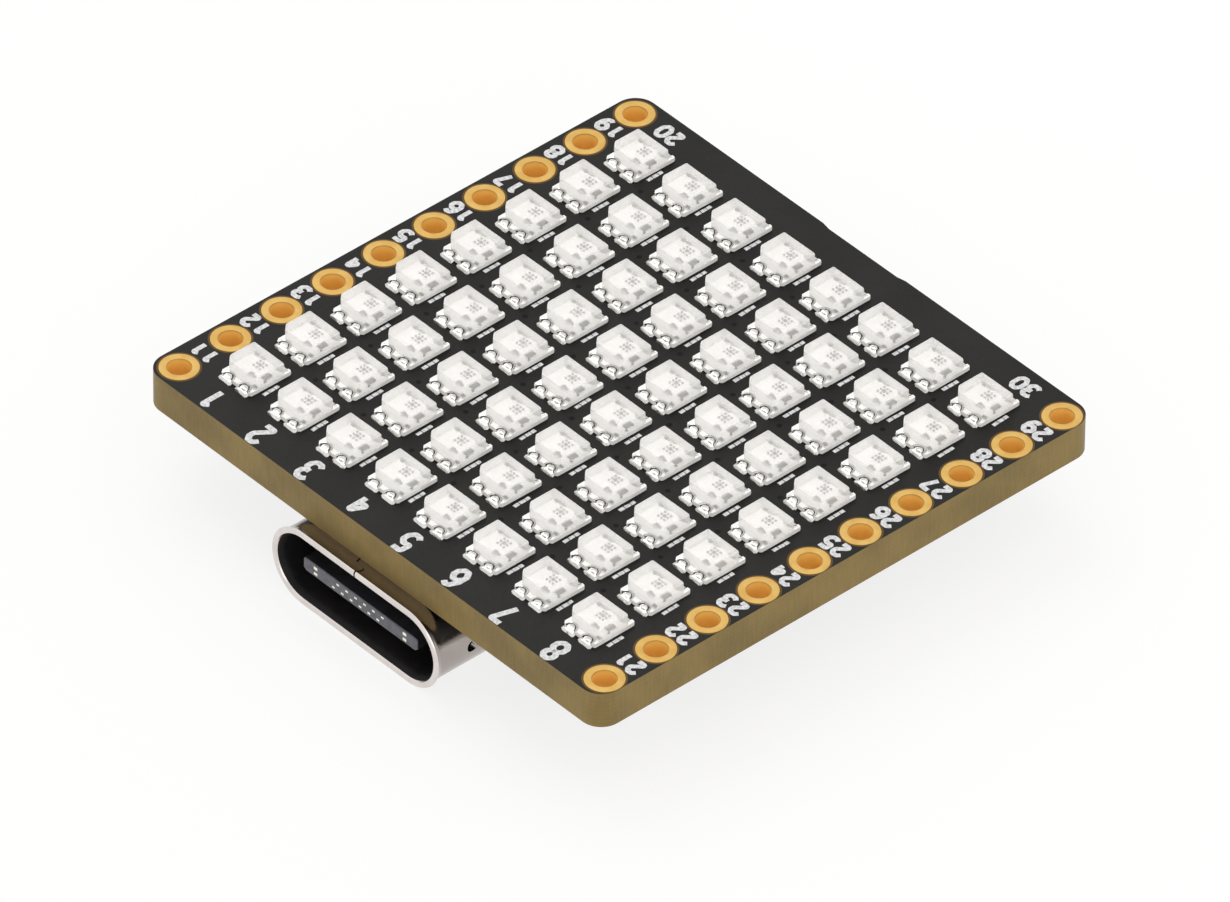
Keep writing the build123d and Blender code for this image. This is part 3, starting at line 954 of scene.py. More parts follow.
@dataclass(frozen=True)
class Line:
    """A raised line of ink or masked copper, in millimetres."""

    width: float
    height: float
    corner: float
    finish: Finishes
    lift: float = 0.0

    def draw(self, name: str, paths: Sequence[Path], tree: Tree) -> bpy.types.Mesh:
        """Lay the line along paths. A path that ends where it starts closes.

        Args:
            name: Name of the mesh.
            paths: Paths on the board.
            tree: The line tree.

        Returns:
            One mesh with all the lines.
        """
        verts: list[Point] = []
        edges: list[tuple[int, int]] = []
        for path in paths:
            closed = path[0] == path[-1]
            first = len(verts)
            kept = path[:-1] if closed else path
            verts.extend((x * MM, y * MM, 0.0) for x, y in kept)
            edges.extend((first + k, first + k + 1) for k in range(len(kept) - 1))
            if closed:
                edges.append((first + len(kept) - 1, first))
        template = bpy.data.meshes.new(name)
        template.from_pydata(verts, edges, [])
        sizes = {
            "Width": self.width * MM,
            "Flatness": 2 * self.height / self.width,
            "Corner": self.corner * MM,
            "Lift": self.lift * MM,
            "Finish": self.finish.material,
        }
        return grow(template, tree, sizes, 80)


# The object


@dataclass
class LedField:
    """Eight by eight addressable LEDs: bases, lenses, the dies inside and the soldered terminals."""

    copies: Tree
    width: float = 1.76
    length: float = 2.1
    base_height: float = 0.2
    base_gap: float = 0.02
    lens_half_width: float = 0.87
    lens_height: float = 0.55
    lens_foot: float = 1.52
    lens_top: float = 1.443
    lens_sink: float = 0.08
    chamfer: float = 0.28
    rounding: float = 0.07
    base_cut: float = 0.12
    base_corner: float = 0.07
    plating_inset: float = 0.08
    notch_radius: float = 0.25
    ring_radius: float = 0.34
    ring_height: float = 0.014
    terminal_x: float = 0.46
    core_radius: float = 0.2
    lump_half_width: float = 0.35
    lump_foot: float = -0.015
    toe: float = 0.17
    # Depth in shares of the core's radius, or of the toe where it is positive, and the heights of
    # the fillet's middle and flanks in shares of the base's height
    lump: tuple[Point, ...] = (
        (-0.98, 1.0, 1.0),
        (-0.8, 0.8, 1.0),
        (-0.45, 0.62, 0.95),
        (-0.02, 0.6, 0.8),
        (0.1, 0.62, 0.35),
        (0.45, 0.6, 0.3),
        (0.8, 0.4, 0.15),
        (1.0, 0.0, -0.05),
    )
    driver_middle: tuple[float, float] = (-0.13, 0.37)
    spot_pitch: float = 0.17
    spot_half: float = 0.032
    spot_height: float = 0.06
    # Middle, and half of the width and length, of each light die and bond spot
    dies: tuple[tuple[float, float, float, float], ...] = (
        (0.05, -0.23, 0.08, 0.1),
        (0.21, -0.24, 0.08, 0.06),
        (0.54, 0.11, 0.12, 0.18),
        (-0.7, 0.68, 0.08, 0.05),
        (-0.13, 0.37, 0.055, 0.055),
        (0.74, -0.13, 0.03, 0.04),
        (0.7, -0.6, 0.08, 0.06),
    )
    die_height: float = 0.07
    die_sink: float = 0.01

    def grid(self, **extra: Any) -> Grid:
        """The LEDs' grid. All its parts share one seed, so they slip and turn together."""
        sizes: dict[str, Any] = {"slip": 0.018, "twist_degrees": 0.7, "seed": 7} | extra
        centre = (BOARD_CENTRE_X, 0.0, 0.0)
        return Grid(LEDS_PER_ROW, LEDS_PER_ROW, LED_PITCH, LED_PITCH, centre, **sizes)

    def lens(self) -> bpy.types.Mesh:
        """One lens: drafted ends, rounded edges and one corner cut to mark the first pin."""
        foot, side = self.lens_foot / 2, self.lens_half_width
        outlines = []
        for reach in (foot, self.lens_top / 2):
            cut = self.chamfer - (foot - reach)
            near = [(-side + cut, -reach), (side, -reach)]
            outlines.append([*near, (side, reach), (-side, reach), (-side, -foot + self.chamfer)])
        shape = Shape()
        low, high = self.base_height - self.lens_sink, self.base_height + self.lens_height
        round_off(shape.bm, shape.slab(*outlines, low, high), self.rounding)
        return shape.mesh("lens_template", 30)

    def base(self) -> bpy.types.Mesh:
        """One base with a half-round notch for each plated terminal and one corner cut."""
        half, far_end = self.width / 2, self.length / 2
        end = far_end - self.plating_inset
        notches = []
        for middle in (-self.terminal_x, self.terminal_x):
            for k in range(9):
                angle = math.pi * k / 8
                across = middle - self.notch_radius * math.cos(angle)
                notches.append((across, -end + self.notch_radius * math.sin(angle)))
        cut, corner = self.base_cut, self.base_corner
        outline = [(-half, -end + cut), (-half + cut, -end), *notches]
        outline += [(half - corner, -end), (half, -end + corner), (half, far_end - corner)]
        outline += [(half - 0.3 * corner, far_end - 0.3 * corner), (half - corner, far_end)]
        # At the far end the notches open at the base's full length
        outline += [(-x, -y + self.plating_inset * (y < -end + 1e-6)) for x, y in notches]
        outline += [(-half + corner, far_end), (-half, far_end - corner)]
        shape = Shape()
        shape.slab(outline, outline, self.base_gap, self.base_height)
        return shape.mesh("base_template", 50)

    def lump_rows(self) -> Rows:
        """Upper surface of one solder fillet, from the back of its notch out to its toe."""
        rows = []
        for share, middle, flank in self.lump:
            if share < 0:
                depth = share * self.core_radius
                half = math.sqrt(self.core_radius**2 - depth**2) + 0.004
            else:
                depth = share * self.toe
                half = self.lump_half_width * (0.85 if share == 1 else 1.0)
            crown = middle + 0.3 * (flank - middle)
            heights = (flank, crown, middle, middle, middle, crown, flank)
            places = (-1, -0.84, -0.45, 0, 0.45, 0.84, 1)
            row = [(half * x, depth, self.base_height * z) for x, z in zip(places, heights)]
            feet = [(side * half, depth, self.lump_foot) for side in (-1, 1)]
            rows.append([feet[0], *row, feet[1]])
        return rows

    def half_round(self, profile: Path) -> Rows:
        """Turn a profile of radius and height half round a notch's axis."""
        rows = []
        for k in range(11):
            angle = math.pi * k / 10
            rows.append([(r * math.cos(angle), -r * math.sin(angle), z) for r, z in profile])
        return rows

    def ring_rows(self) -> Rows:
        """The plating of one notch: its wall and the ring that it turns over on to the base."""
        wall, top = self.notch_radius + 0.01, self.base_height + self.ring_height
        low, edge = self.base_height - 0.01, self.ring_radius
        return self.half_round(
            ((wall, 0.0), (wall, top - 0.01), (wall + 0.015, top), (edge - 0.01, top), (edge, low))
        )

    def crease_rows(self) -> Rows:
        """The line of painted shade between the solder and the plating."""
        inner, outer = self.core_radius - 0.01, self.notch_radius + 0.015
        foot, level = 0.02, self.base_height + 0.3 * self.ring_height
        return self.half_round(
            ((inner, foot), (inner, level - 0.03), (outer, level), (outer, foot))
        )

    def terminals(self, name: str, surfaces: Sequence[Rows]) -> bpy.types.Mesh:
        """Place one terminal's surfaces at all four terminals.

        Args:
            name: Name of the mesh.
            surfaces: The surfaces, about the notch's axis at the far end.

        Returns:
            The mesh about the LED's middle.
        """
        shape = Shape()
        plated_end = self.length / 2 - self.plating_inset
        for end in (-1, 1):
            for middle in (-self.terminal_x, self.terminal_x):
                for rows in surfaces:
                    shape.grid(
                        [[(middle + x, end * (plated_end + y), z) for x, y, z in row] for row in rows]
                    )
        return shape.mesh(name, 60)

    def spots(self) -> list[tuple[float, float, float, float]]:
        """The driver chip's dots, in a square round its middle."""
        x0, y0 = self.driver_middle
        steps = [(x, y) for x in (-1, 0, 1) for y in (-1, 0, 1) if x or y]
        sizes = (self.spot_half, self.spot_half)
        return [(x0 + x * self.spot_pitch, y0 + y * self.spot_pitch, *sizes) for x, y in steps]

    def inside(
        self, name: str, places: Sequence[tuple[float, float, float, float]], height: float
    ) -> bpy.types.Mesh:
        """Small boxes that stand on the base, inside the lens.

        Args:
            name: Name of the mesh.
            places: Middle, and half of the width and length, of each box.
            height: How high they stand.

        Returns:
            The mesh about the LED's middle.
        """
        shape = Shape()
        floor = self.base_height - self.die_sink
        for x, y, wide, long in places:
            shape.box((x - wide, y - long, floor), (x + wide, y + long, floor + height))
        return shape.mesh(name)

    def build(self) -> None:
        """Build the bases, the lenses, the terminals with painted shade in their creases, and what the
        lenses hold.
        """
        grid, lumps = self.grid(), self.grid(unevenness=0.04, grain=0.35)
        bright = self.terminals("terminal_template", (self.lump_rows(), self.ring_rows()))
        # A dark band of painted shade in each terminal's crease
        dark = self.terminals("crease_shade_template", (self.crease_rows(),))
        driver = self.inside("driver_template", self.spots(), self.spot_height)
        dies = self.inside("dies_template", self.dies, self.die_height)
        for name, template, places, finish, slot, part in (
            ("led_bases", self.base(), grid, Finishes.LED_LAMINATE, "led_laminate", "bases"),
            ("led_lenses", self.lens(), grid, Finishes.LENS, "led_resin", "lenses"),
            ("led_terminals", bright, lumps, Finishes.SOLDER, "solder", "terminals"),
            ("led_terminal_crease_shade", dark, lumps, Finishes.SOLDER_CREASE, "solder", None),
            ("led_driver", driver, grid, Finishes.DRIVER_CHIP, "package_resin", None),
            ("led_dies", dies, grid, Finishes.LIGHT_DIE, "package_resin", None),
        ):
            nodes = [f"led_{part}_row_{row + 1}" for row in range(LEDS_PER_ROW)] if part else []
            add_piece(name, places.fill(template, self.copies, finish), nodes)


@dataclass
class HeaderPads:
    """Twenty plated holes: a gold ring on each face, joined by the plated wall."""

    copies: Tree
    pad_radius: float = 0.775
    hole_radius: float = 0.48
    plating: float = 0.006
    height: float = 0.02
    sides: int = 40

    def build(self) -> None:
        """Build all the rings as one piece."""
        top, low = self.height, UNDERSIDE_Z - self.height
        inner, outer = self.hole_radius - self.plating, self.pad_radius
        behind = self.hole_radius + 0.01
        profile = [
            (outer, -0.01),
            (outer, top * 0.4),
            (outer - 0.03, top),
            (inner + 0.05, top),
            (inner + 0.015, top * 0.5),
            (inner, -0.02),
            (inner, UNDERSIDE_Z + 0.02),
            (inner + 0.015, low + top * 0.5),
            (inner + 0.05, low),
            (outer - 0.03, low),
            (outer, low + top * 0.6),
            (outer, UNDERSIDE_Z + 0.01),
            (behind, UNDERSIDE_Z + 0.01),
            (behind, -0.01),
        ]
        shape = Shape()
        shape.spin(profile, self.sides)
        grid = Grid(2, HOLES_PER_ROW, 2 * HEADER_X, PIN_PITCH)
        rings = grid.fill(shape.mesh("pad_template", 40), self.copies, Finishes.GOLD)
        add_piece("header_pads", rings)


# Strokes of each digit, on a square of side 1
DIGITS: dict[str, tuple[Path, ...]] = {
    "0": (
        ((0.3, 0), (0.7, 0), (1, 0.25), (1, 0.75), (0.7, 1), (0.3, 1), (0, 0.75), (0, 0.25),
         (0.3, 0)),
    ),
    "1": (((0.15, 0.78), (0.6, 1), (0.6, 0)),),
    "2": (((0, 0.8), (0.28, 1), (0.75, 1), (1, 0.82), (1, 0.62), (0, 0), (1, 0)),),
    "3": (
        ((0, 0.88), (0.3, 1), (0.75, 1), (1, 0.84), (1, 0.66), (0.72, 0.53), (0.4, 0.53)),
        ((0.72, 0.53), (1, 0.38), (1, 0.18), (0.75, 0), (0.28, 0), (0, 0.14)),
    ),
    "4": (((0.78, 0), (0.78, 1), (0, 0.3), (1, 0.3)),),
    "5": (
        ((0.95, 1), (0.12, 1), (0.05, 0.56), (0.65, 0.62), (1, 0.46), (1, 0.2), (0.7, 0),
         (0.25, 0), (0, 0.12)),
    ),
    "6": (
        ((0.9, 0.9), (0.62, 1), (0.3, 0.94), (0, 0.62), (0, 0.22), (0.3, 0), (0.7, 0), (1, 0.2),
         (1, 0.4), (0.7, 0.58), (0.3, 0.57), (0.02, 0.4)),
    ),
    "7": (((0, 1), (1, 1), (0.35, 0)),),
    "8": (
        ((0.3, 0.54), (0.05, 0.7), (0.05, 0.86), (0.3, 1), (0.7, 1), (0.95, 0.86), (0.95, 0.7),
         (0.7, 0.54), (0.3, 0.54)),
        ((0.3, 0.54), (0, 0.38), (0, 0.16), (0.3, 0), (0.7, 0), (1, 0.16), (1, 0.38),
         (0.7, 0.54), (0.3, 0.54)),
    ),
    "9": (
        ((0.1, 0.1), (0.38, 0), (0.7, 0.06), (1, 0.38), (1, 0.78), (0.7, 1), (0.3, 1), (0, 0.8),
         (0, 0.6), (0.3, 0.42), (0.7, 0.43), (0.98, 0.6)),
    ),
}  # fmt: skip


@dataclass(frozen=True)
class Lettering:
    """How a number is written: sizes between stroke middles, and which way it reads.

    A turn of (-1, -1) reads from the far side of the LED face, and (-1, 1) on the underside.
    """

    width: float
    height: float
    pitch: float
    turn: tuple[int, int] = (-1, -1)

    def write(self, number: int, centre: tuple[float, float]) -> list[Path]:
        """Strokes of a number.

        Args:
            number: The number.
            centre: Its middle on the board.

        Returns:
            Paths on the board, in millimetres.
        """
        paths = []
        digits = str(number)
        for digit, middle in zip(digits, spread(len(digits), self.pitch)):
            start = middle - self.width / 2
            for stroke in DIGITS[digit]:
                drawn = [(start + x * self.width, (y - 0.5) * self.height) for x, y in stroke]
                paths.append(
                    [(centre[0] + self.turn[0] * x, centre[1] + self.turn[1] * y) for x, y in drawn]
                )
        return paths


@dataclass
class Silkscreen:
    """White ink on both faces, and the tented vias between it.

    Plain numbers stand at the header holes and LED columns, and a broken dash beside each LED.
    """

    copies: Tree
    lines: Tree
    first_numbers: tuple[int, int] = (11, 21)
    label: Lettering = Lettering(0.4, 0.66, 0.63)
    label_ink: Line = Line(0.21, 0.014, 0.06, Finishes.INK)
    label_lead: float = 1.27
    # The last hole of each row has its number inside the row, clear of the rounded corner
    last_labels: tuple[tuple[float, float], ...] = ((-10.11, 11.55), (9.77, 11.55))
    column: Lettering = Lettering(0.5, 1.05, 1.0)
    column_ink: Line = Line(0.25, 0.014, 0.06, Finishes.INK)
    column_y: float = -11.73
    dash: tuple[Path, ...] = (
        ((0.01, -0.4), (0.0, -0.15)),
        ((0.0, -0.11), (0.0, 0.15)),
        ((0.0, 0.18), (-0.01, 0.38)),
    )
    dash_ink: Line = Line(0.17, 0.014, 0.06, Finishes.INK)
    dash_place: tuple[float, float] = (1.06, -0.12)
    via_radius: float = 0.11
    via_height: float = 0.006
    below: Lettering = Lettering(0.4, 0.75, 0.62, (-1, 1))
    below_ink: Line = Line(0.14, 0.014, 0.06, Finishes.INK, UNDERSIDE_Z)
    below_inset: float = 1.45
    covered_holes: tuple[int, ...] = (1,)
    outline_arm: float = 0.6
    outlined: tuple[tuple[str, float], ...] = (
        ("controller", 0.55),
        ("flash_memory", 0.5),
        ("crystal_base", 0.55),
        ("inductor", 0.6),
    )

    def numbers(self) -> bpy.types.Mesh:
        """Numbers beside the two header rows and at the LED columns."""
        labels, columns = [], []
        for hole, middle in enumerate(spread(HOLES_PER_ROW, PIN_PITCH)):
            y = middle + self.label_lead
            places = ((-HEADER_X, y), (HEADER_X, y))
            if hole == HOLES_PER_ROW - 1:
                places = self.last_labels
            for first, place in zip(self.first_numbers, places):
                labels += self.label.write(first + hole, place)
        for column, x in enumerate(spread(LEDS_PER_ROW, LED_PITCH, BOARD_CENTRE_X)):
            columns += self.column.write(column + 1, (x, self.column_y))
        inked = [
            self.label_ink.draw("labels", labels, self.lines),
            self.column_ink.draw("columns", columns, self.lines),
        ]
        return join("silkscreen_numbers", inked)

    def dashes(self) -> bpy.types.Mesh:
        """A dash beside each LED, printed a little uneven."""
        x, y = self.dash_place
        grid = Grid(
            LEDS_PER_ROW, LEDS_PER_ROW, LED_PITCH, LED_PITCH, (BOARD_CENTRE_X + x, y, 0.0),
            slip=0.02, twist_degrees=1.5, unevenness=0.03, grain=0.1, seed=3,
        )  # fmt: skip
        dash = self.dash_ink.draw("dash", self.dash, self.lines)
        return grid.fill(dash, self.copies, Finishes.INK)

    def vias(self) -> bpy.types.Mesh:
        """Tented vias in the channels between the LEDs, and scattered on the underside."""
        radius, height, pole = self.via_radius, self.via_height, 0.001
        profile = [
            (pole, -height),
            (radius, -height),
            (radius, 0.5 * height),
            (radius * 0.8, height),
            (radius * 0.5, 0.4 * height),
            (pole, 0.2 * height),
        ]
        x = BOARD_CENTRE_X
        found = []
        for grid in (
            Grid(7, 8, LED_PITCH, LED_PITCH, (x + 0.14, 0.45, 0.0), slip=0.1, seed=11),
            Grid(7, 7, LED_PITCH, LED_PITCH, (x + 0.1, 0.2, 0.0), slip=0.22, seed=12),
            Grid(8, 8, 2.6, 2.6, (x, 0.0, UNDERSIDE_Z), slip=0.7, seed=13),
        ):
            shape = Shape()
            shape.spin(profile, 12)
            via = shape.mesh("via_template", 60)
            found.append(grid.fill(via, self.copies, Finishes.TENTED_VIA))
        return join("tented_vias", found)

    def underside(self) -> bpy.types.Mesh:
        """Numbers beside the header holes and corner marks round the parts below."""
        paths = []
        reach = HEADER_X - self.below_inset
        for hole, y in enumerate(spread(HOLES_PER_ROW, PIN_PITCH)):
            if hole in self.covered_holes:
                continue
            for first, x in zip(self.first_numbers, (-reach, reach)):
                paths += self.below.write(first + hole, (x, y))
        arm = self.outline_arm
        for node, gap in self.outlined:
            (x0, y0, _), (x1, y1, _) = node_box(node)
            x0, y0, x1, y1 = x0 - gap, y0 - gap, x1 + gap, y1 + gap
            corners = ((x0, y0, 1, 1), (x1, y0, -1, 1), (x1, y1, -1, -1), (x0, y1, 1, -1))
            for x, y, right, up in corners:
                paths.append([(x + right * arm, y), (x, y), (x, y + up * arm)])
        return self.below_ink.draw("underside_print", paths, self.lines)

    def build(self) -> None:
        """Print both faces and set the vias."""
        add_piece("silkscreen_numbers", self.numbers())
        add_piece("silkscreen_dashes", self.dashes())
        add_piece("tented_vias", self.vias())
        add_piece("underside_print", self.underside())


@dataclass
class UsbShell:
    """Folded steel shell with a flared mouth, an interlocked seam, side holes and four feet."""

    half_width: float = 4.55
    half_height: float = 1.6
    wall: float = 0.28
    length: float = 7.3
    lip: float = 0.13
    lip_start: float = 0.07
    lip_length: float = 0.35
    seam_gap: float = 0.07
    # Depth behind the mouth and X of the seam's bends: two dovetails, one to each side
    seam_bends: tuple[tuple[float, float], ...] = (
        (0, 0), (0.5, 0), (0.58, -0.5), (1.0, -0.62), (1.08, 0),
        (1.9, 0), (1.98, 0.5), (2.4, 0.62), (2.48, 0), (9, 0),
    )  # fmt: skip
    ring_depths: tuple[float, ...] = (
        0.5, 0.58, 1.0, 1.08, 1.5, 1.9, 1.98, 2.4, 2.48, 3.4, 4.4, 5.4, 6.4,
    )  # fmt: skip
    straight_steps: int = 8
    round_steps: int = 24
    hole_radius: float = 0.25
    hole_depth: float = 1.85
    hole_sides: int = 24
    hole_cut: tuple[float, float] = (3.9, 5.2)
    foot_depths: tuple[float, ...] = (2.9, 6.3)
    foot_width: float = 1.1
    foot_reach: float = 0.7
    foot_bend: float = 0.2
    foot_bend_outside: float = 0.45

    def seam_x(self, depth: float) -> float:
        """X of the seam's middle at this depth."""
        for (d0, x0), (d1, x1) in zip(self.seam_bends, self.seam_bends[1:]):
            if d0 <= depth <= d1:
                return x0 + (x1 - x0) * (depth - d0) / (d1 - d0)
        return 0.0

    def loop(self, depth: float, offset: float) -> list[Point]:
        """Points round the shell at this depth, starting and ending at the seam.

        Args:
            depth: Distance behind the mouth.
            offset: How far the surface lies outside the nominal outer face.

        Returns:
            Points in the board's frame.
        """
        radius = self.half_height + offset
        straight = self.half_width - self.half_height
        seam, flat_steps = self.seam_x(depth), self.straight_steps
        points: list[tuple[float, float]] = []
        for hand in (1, -1):
            start = seam + hand * self.seam_gap / 2
            side = []
            for k in range(flat_steps + 1):
                side.append((start + (hand * straight - start) * k / flat_steps, radius))
            for k in range(1, self.round_steps):
                angle = math.pi / 2 - math.pi * k / self.round_steps
                side.append((hand * (straight + radius * math.cos(angle)), radius * math.sin(angle)))
            for k in range(flat_steps + 1):
                side.append((hand * straight * (1 - k / flat_steps), -radius))
            points = side if hand == 1 else points + list(reversed(side))[1:]
        return [(x, MOUTH_Y + depth, USB_MIDDLE_Z + z) for x, z in points]

    def stations(self) -> list[tuple[float, float, float]]:
        """Depth, outer and inner offset of each ring, from the mouth's rolled rim to the back."""
        flare, wall = self.lip, self.wall
        found = [
            (0.0, flare - 0.1, flare - wall + 0.1),
            (0.02, flare - 0.03, flare - wall + 0.03),
            (self.lip_start, flare, flare - wall),
        ]
        for k in range(1, 5):
            share = k / 4
            rise = flare * (1 - share) ** 1.5
            depth = self.lip_start + (self.lip_length - self.lip_start) * share
            found.append((depth, rise, rise - wall))
        return found + [(depth, 0.0, -wall) for depth in (*self.ring_depths, self.length)]

    def sheet(self) -> bpy.types.Mesh:
        """The folded sheet, with painted shade on its inner faces and a painted highlight on the mouth's
        edge.
        """
        stations = self.stations()
        outer = [self.loop(depth, offset) for depth, offset, _ in stations]
        inner = [self.loop(depth, offset) for depth, _, offset in stations]
        shape = Shape()
        verts = shape.grid(list(reversed(outer)) + inner, closed=True)
        count = len(stations)
        for column in (0, -1):
            for k in range(count - 1):
                out_near, out_far = verts[count - 1 - k][column], verts[count - 2 - k][column]
                in_near, in_far = verts[count + k][column], verts[count + k + 1][column]
                shape.bm.faces.new((out_near, out_far, in_far, in_near))
        bmesh.ops.recalc_face_normals(shape.bm, faces=shape.bm.faces)
        shape.bm.normal_update()
        for face in shape.bm.faces:
            middle = face.calc_center_median()
            across = max(abs(middle.x) - (self.half_width - self.half_height), 0.0)
            from_axis = math.hypot(across, middle.z - USB_MIDDLE_Z)
            # Painted highlight on the faces of the mouth's edge
            if middle.y <= MOUTH_Y + 0.05:
                face.material_index = 2
            # Painted shade on every inner face of the sheet
            elif from_axis < self.half_height - self.wall / 2:
                face.material_index = 1
        return dress(
            shape.mesh("usb_shell", 40),
            Finishes.NICKEL_STEEL,
            Finishes.SHADED_STEEL,
            Finishes.MOUTH_EDGE,
        )

    def punch(self) -> bpy.types.Mesh:
        """The two round punches that make the windows in the side walls."""
        shape = Shape()
        near, far = self.hole_cut
        radius = self.hole_radius
        for hand in (-1, 1):
            rings = []
            for x in (hand * near, hand * far):
                ring = []
                for k in range(self.hole_sides + 1):
                    angle = 2 * math.pi * k / self.hole_sides
                    y = MOUTH_Y + self.hole_depth + radius * math.cos(angle)
                    ring.append((x, y, USB_MIDDLE_Z + radius * math.sin(angle)))
                rings.append(ring)
            shape.grid(rings, capped=True)
        return shape.mesh("punch")

    def feet(self) -> bpy.types.Mesh:
        """Four tabs bent outwards to lie on the board's pads."""
        outer_x, top, thick = self.half_width, UNDERSIDE_Z, self.wall
        bend, wide_bend = self.foot_bend, self.foot_bend_outside
        inside = [(outer_x - thick, USB_MIDDLE_Z), (outer_x - thick, top - wide_bend)]
        outside = [(outer_x, USB_MIDDLE_Z), (outer_x, top - 0.55)]
        for k in range(5):
            angle = math.pi / 2 * k / 4
            reach, rise = 1 - math.cos(angle), math.sin(angle)
            outside.append((outer_x + bend * reach, top - thick - bend + bend * rise))
            inside.append((outer_x - thick + wide_bend * reach, top - wide_bend + wide_bend * rise))
        outside.append((outer_x + self.foot_reach, top - thick))
        inside.append((outer_x + self.foot_reach, top))
        shape = Shape()
        for depth in self.foot_depths:
            near = MOUTH_Y + depth - self.foot_width / 2
            far = near + self.foot_width
            for hand in (-1, 1):
                rows = []
                for (ax, az), (bx, bz) in zip(inside, outside):
                    a, b = hand * ax, hand * bx
                    rows.append([(a, near, az), (a, far, az), (b, far, bz), (b, near, bz), (a, near, az)])
                shape.grid(rows, capped=True)
        return dress(shape.mesh("usb_feet", 30), Finishes.NICKEL_STEEL)

    def build(self) -> None:
        """Build the shell with its windows, and the feet."""
        shell, punch = new_object("shell", self.sheet()), new_object("punch", self.punch())
        cut = shell.modifiers.new("holes", "BOOLEAN")
        cut.object, cut.operation, cut.solver = punch, "DIFFERENCE", "EXACT"
        sheet = plain_mesh(shell)
        bpy.data.objects.remove(punch)
        smooth(sheet, 40)
        add_piece("usb_shell_sheet", sheet, ["usb_shell"])
        add_piece("usb_shell_feet", self.feet())


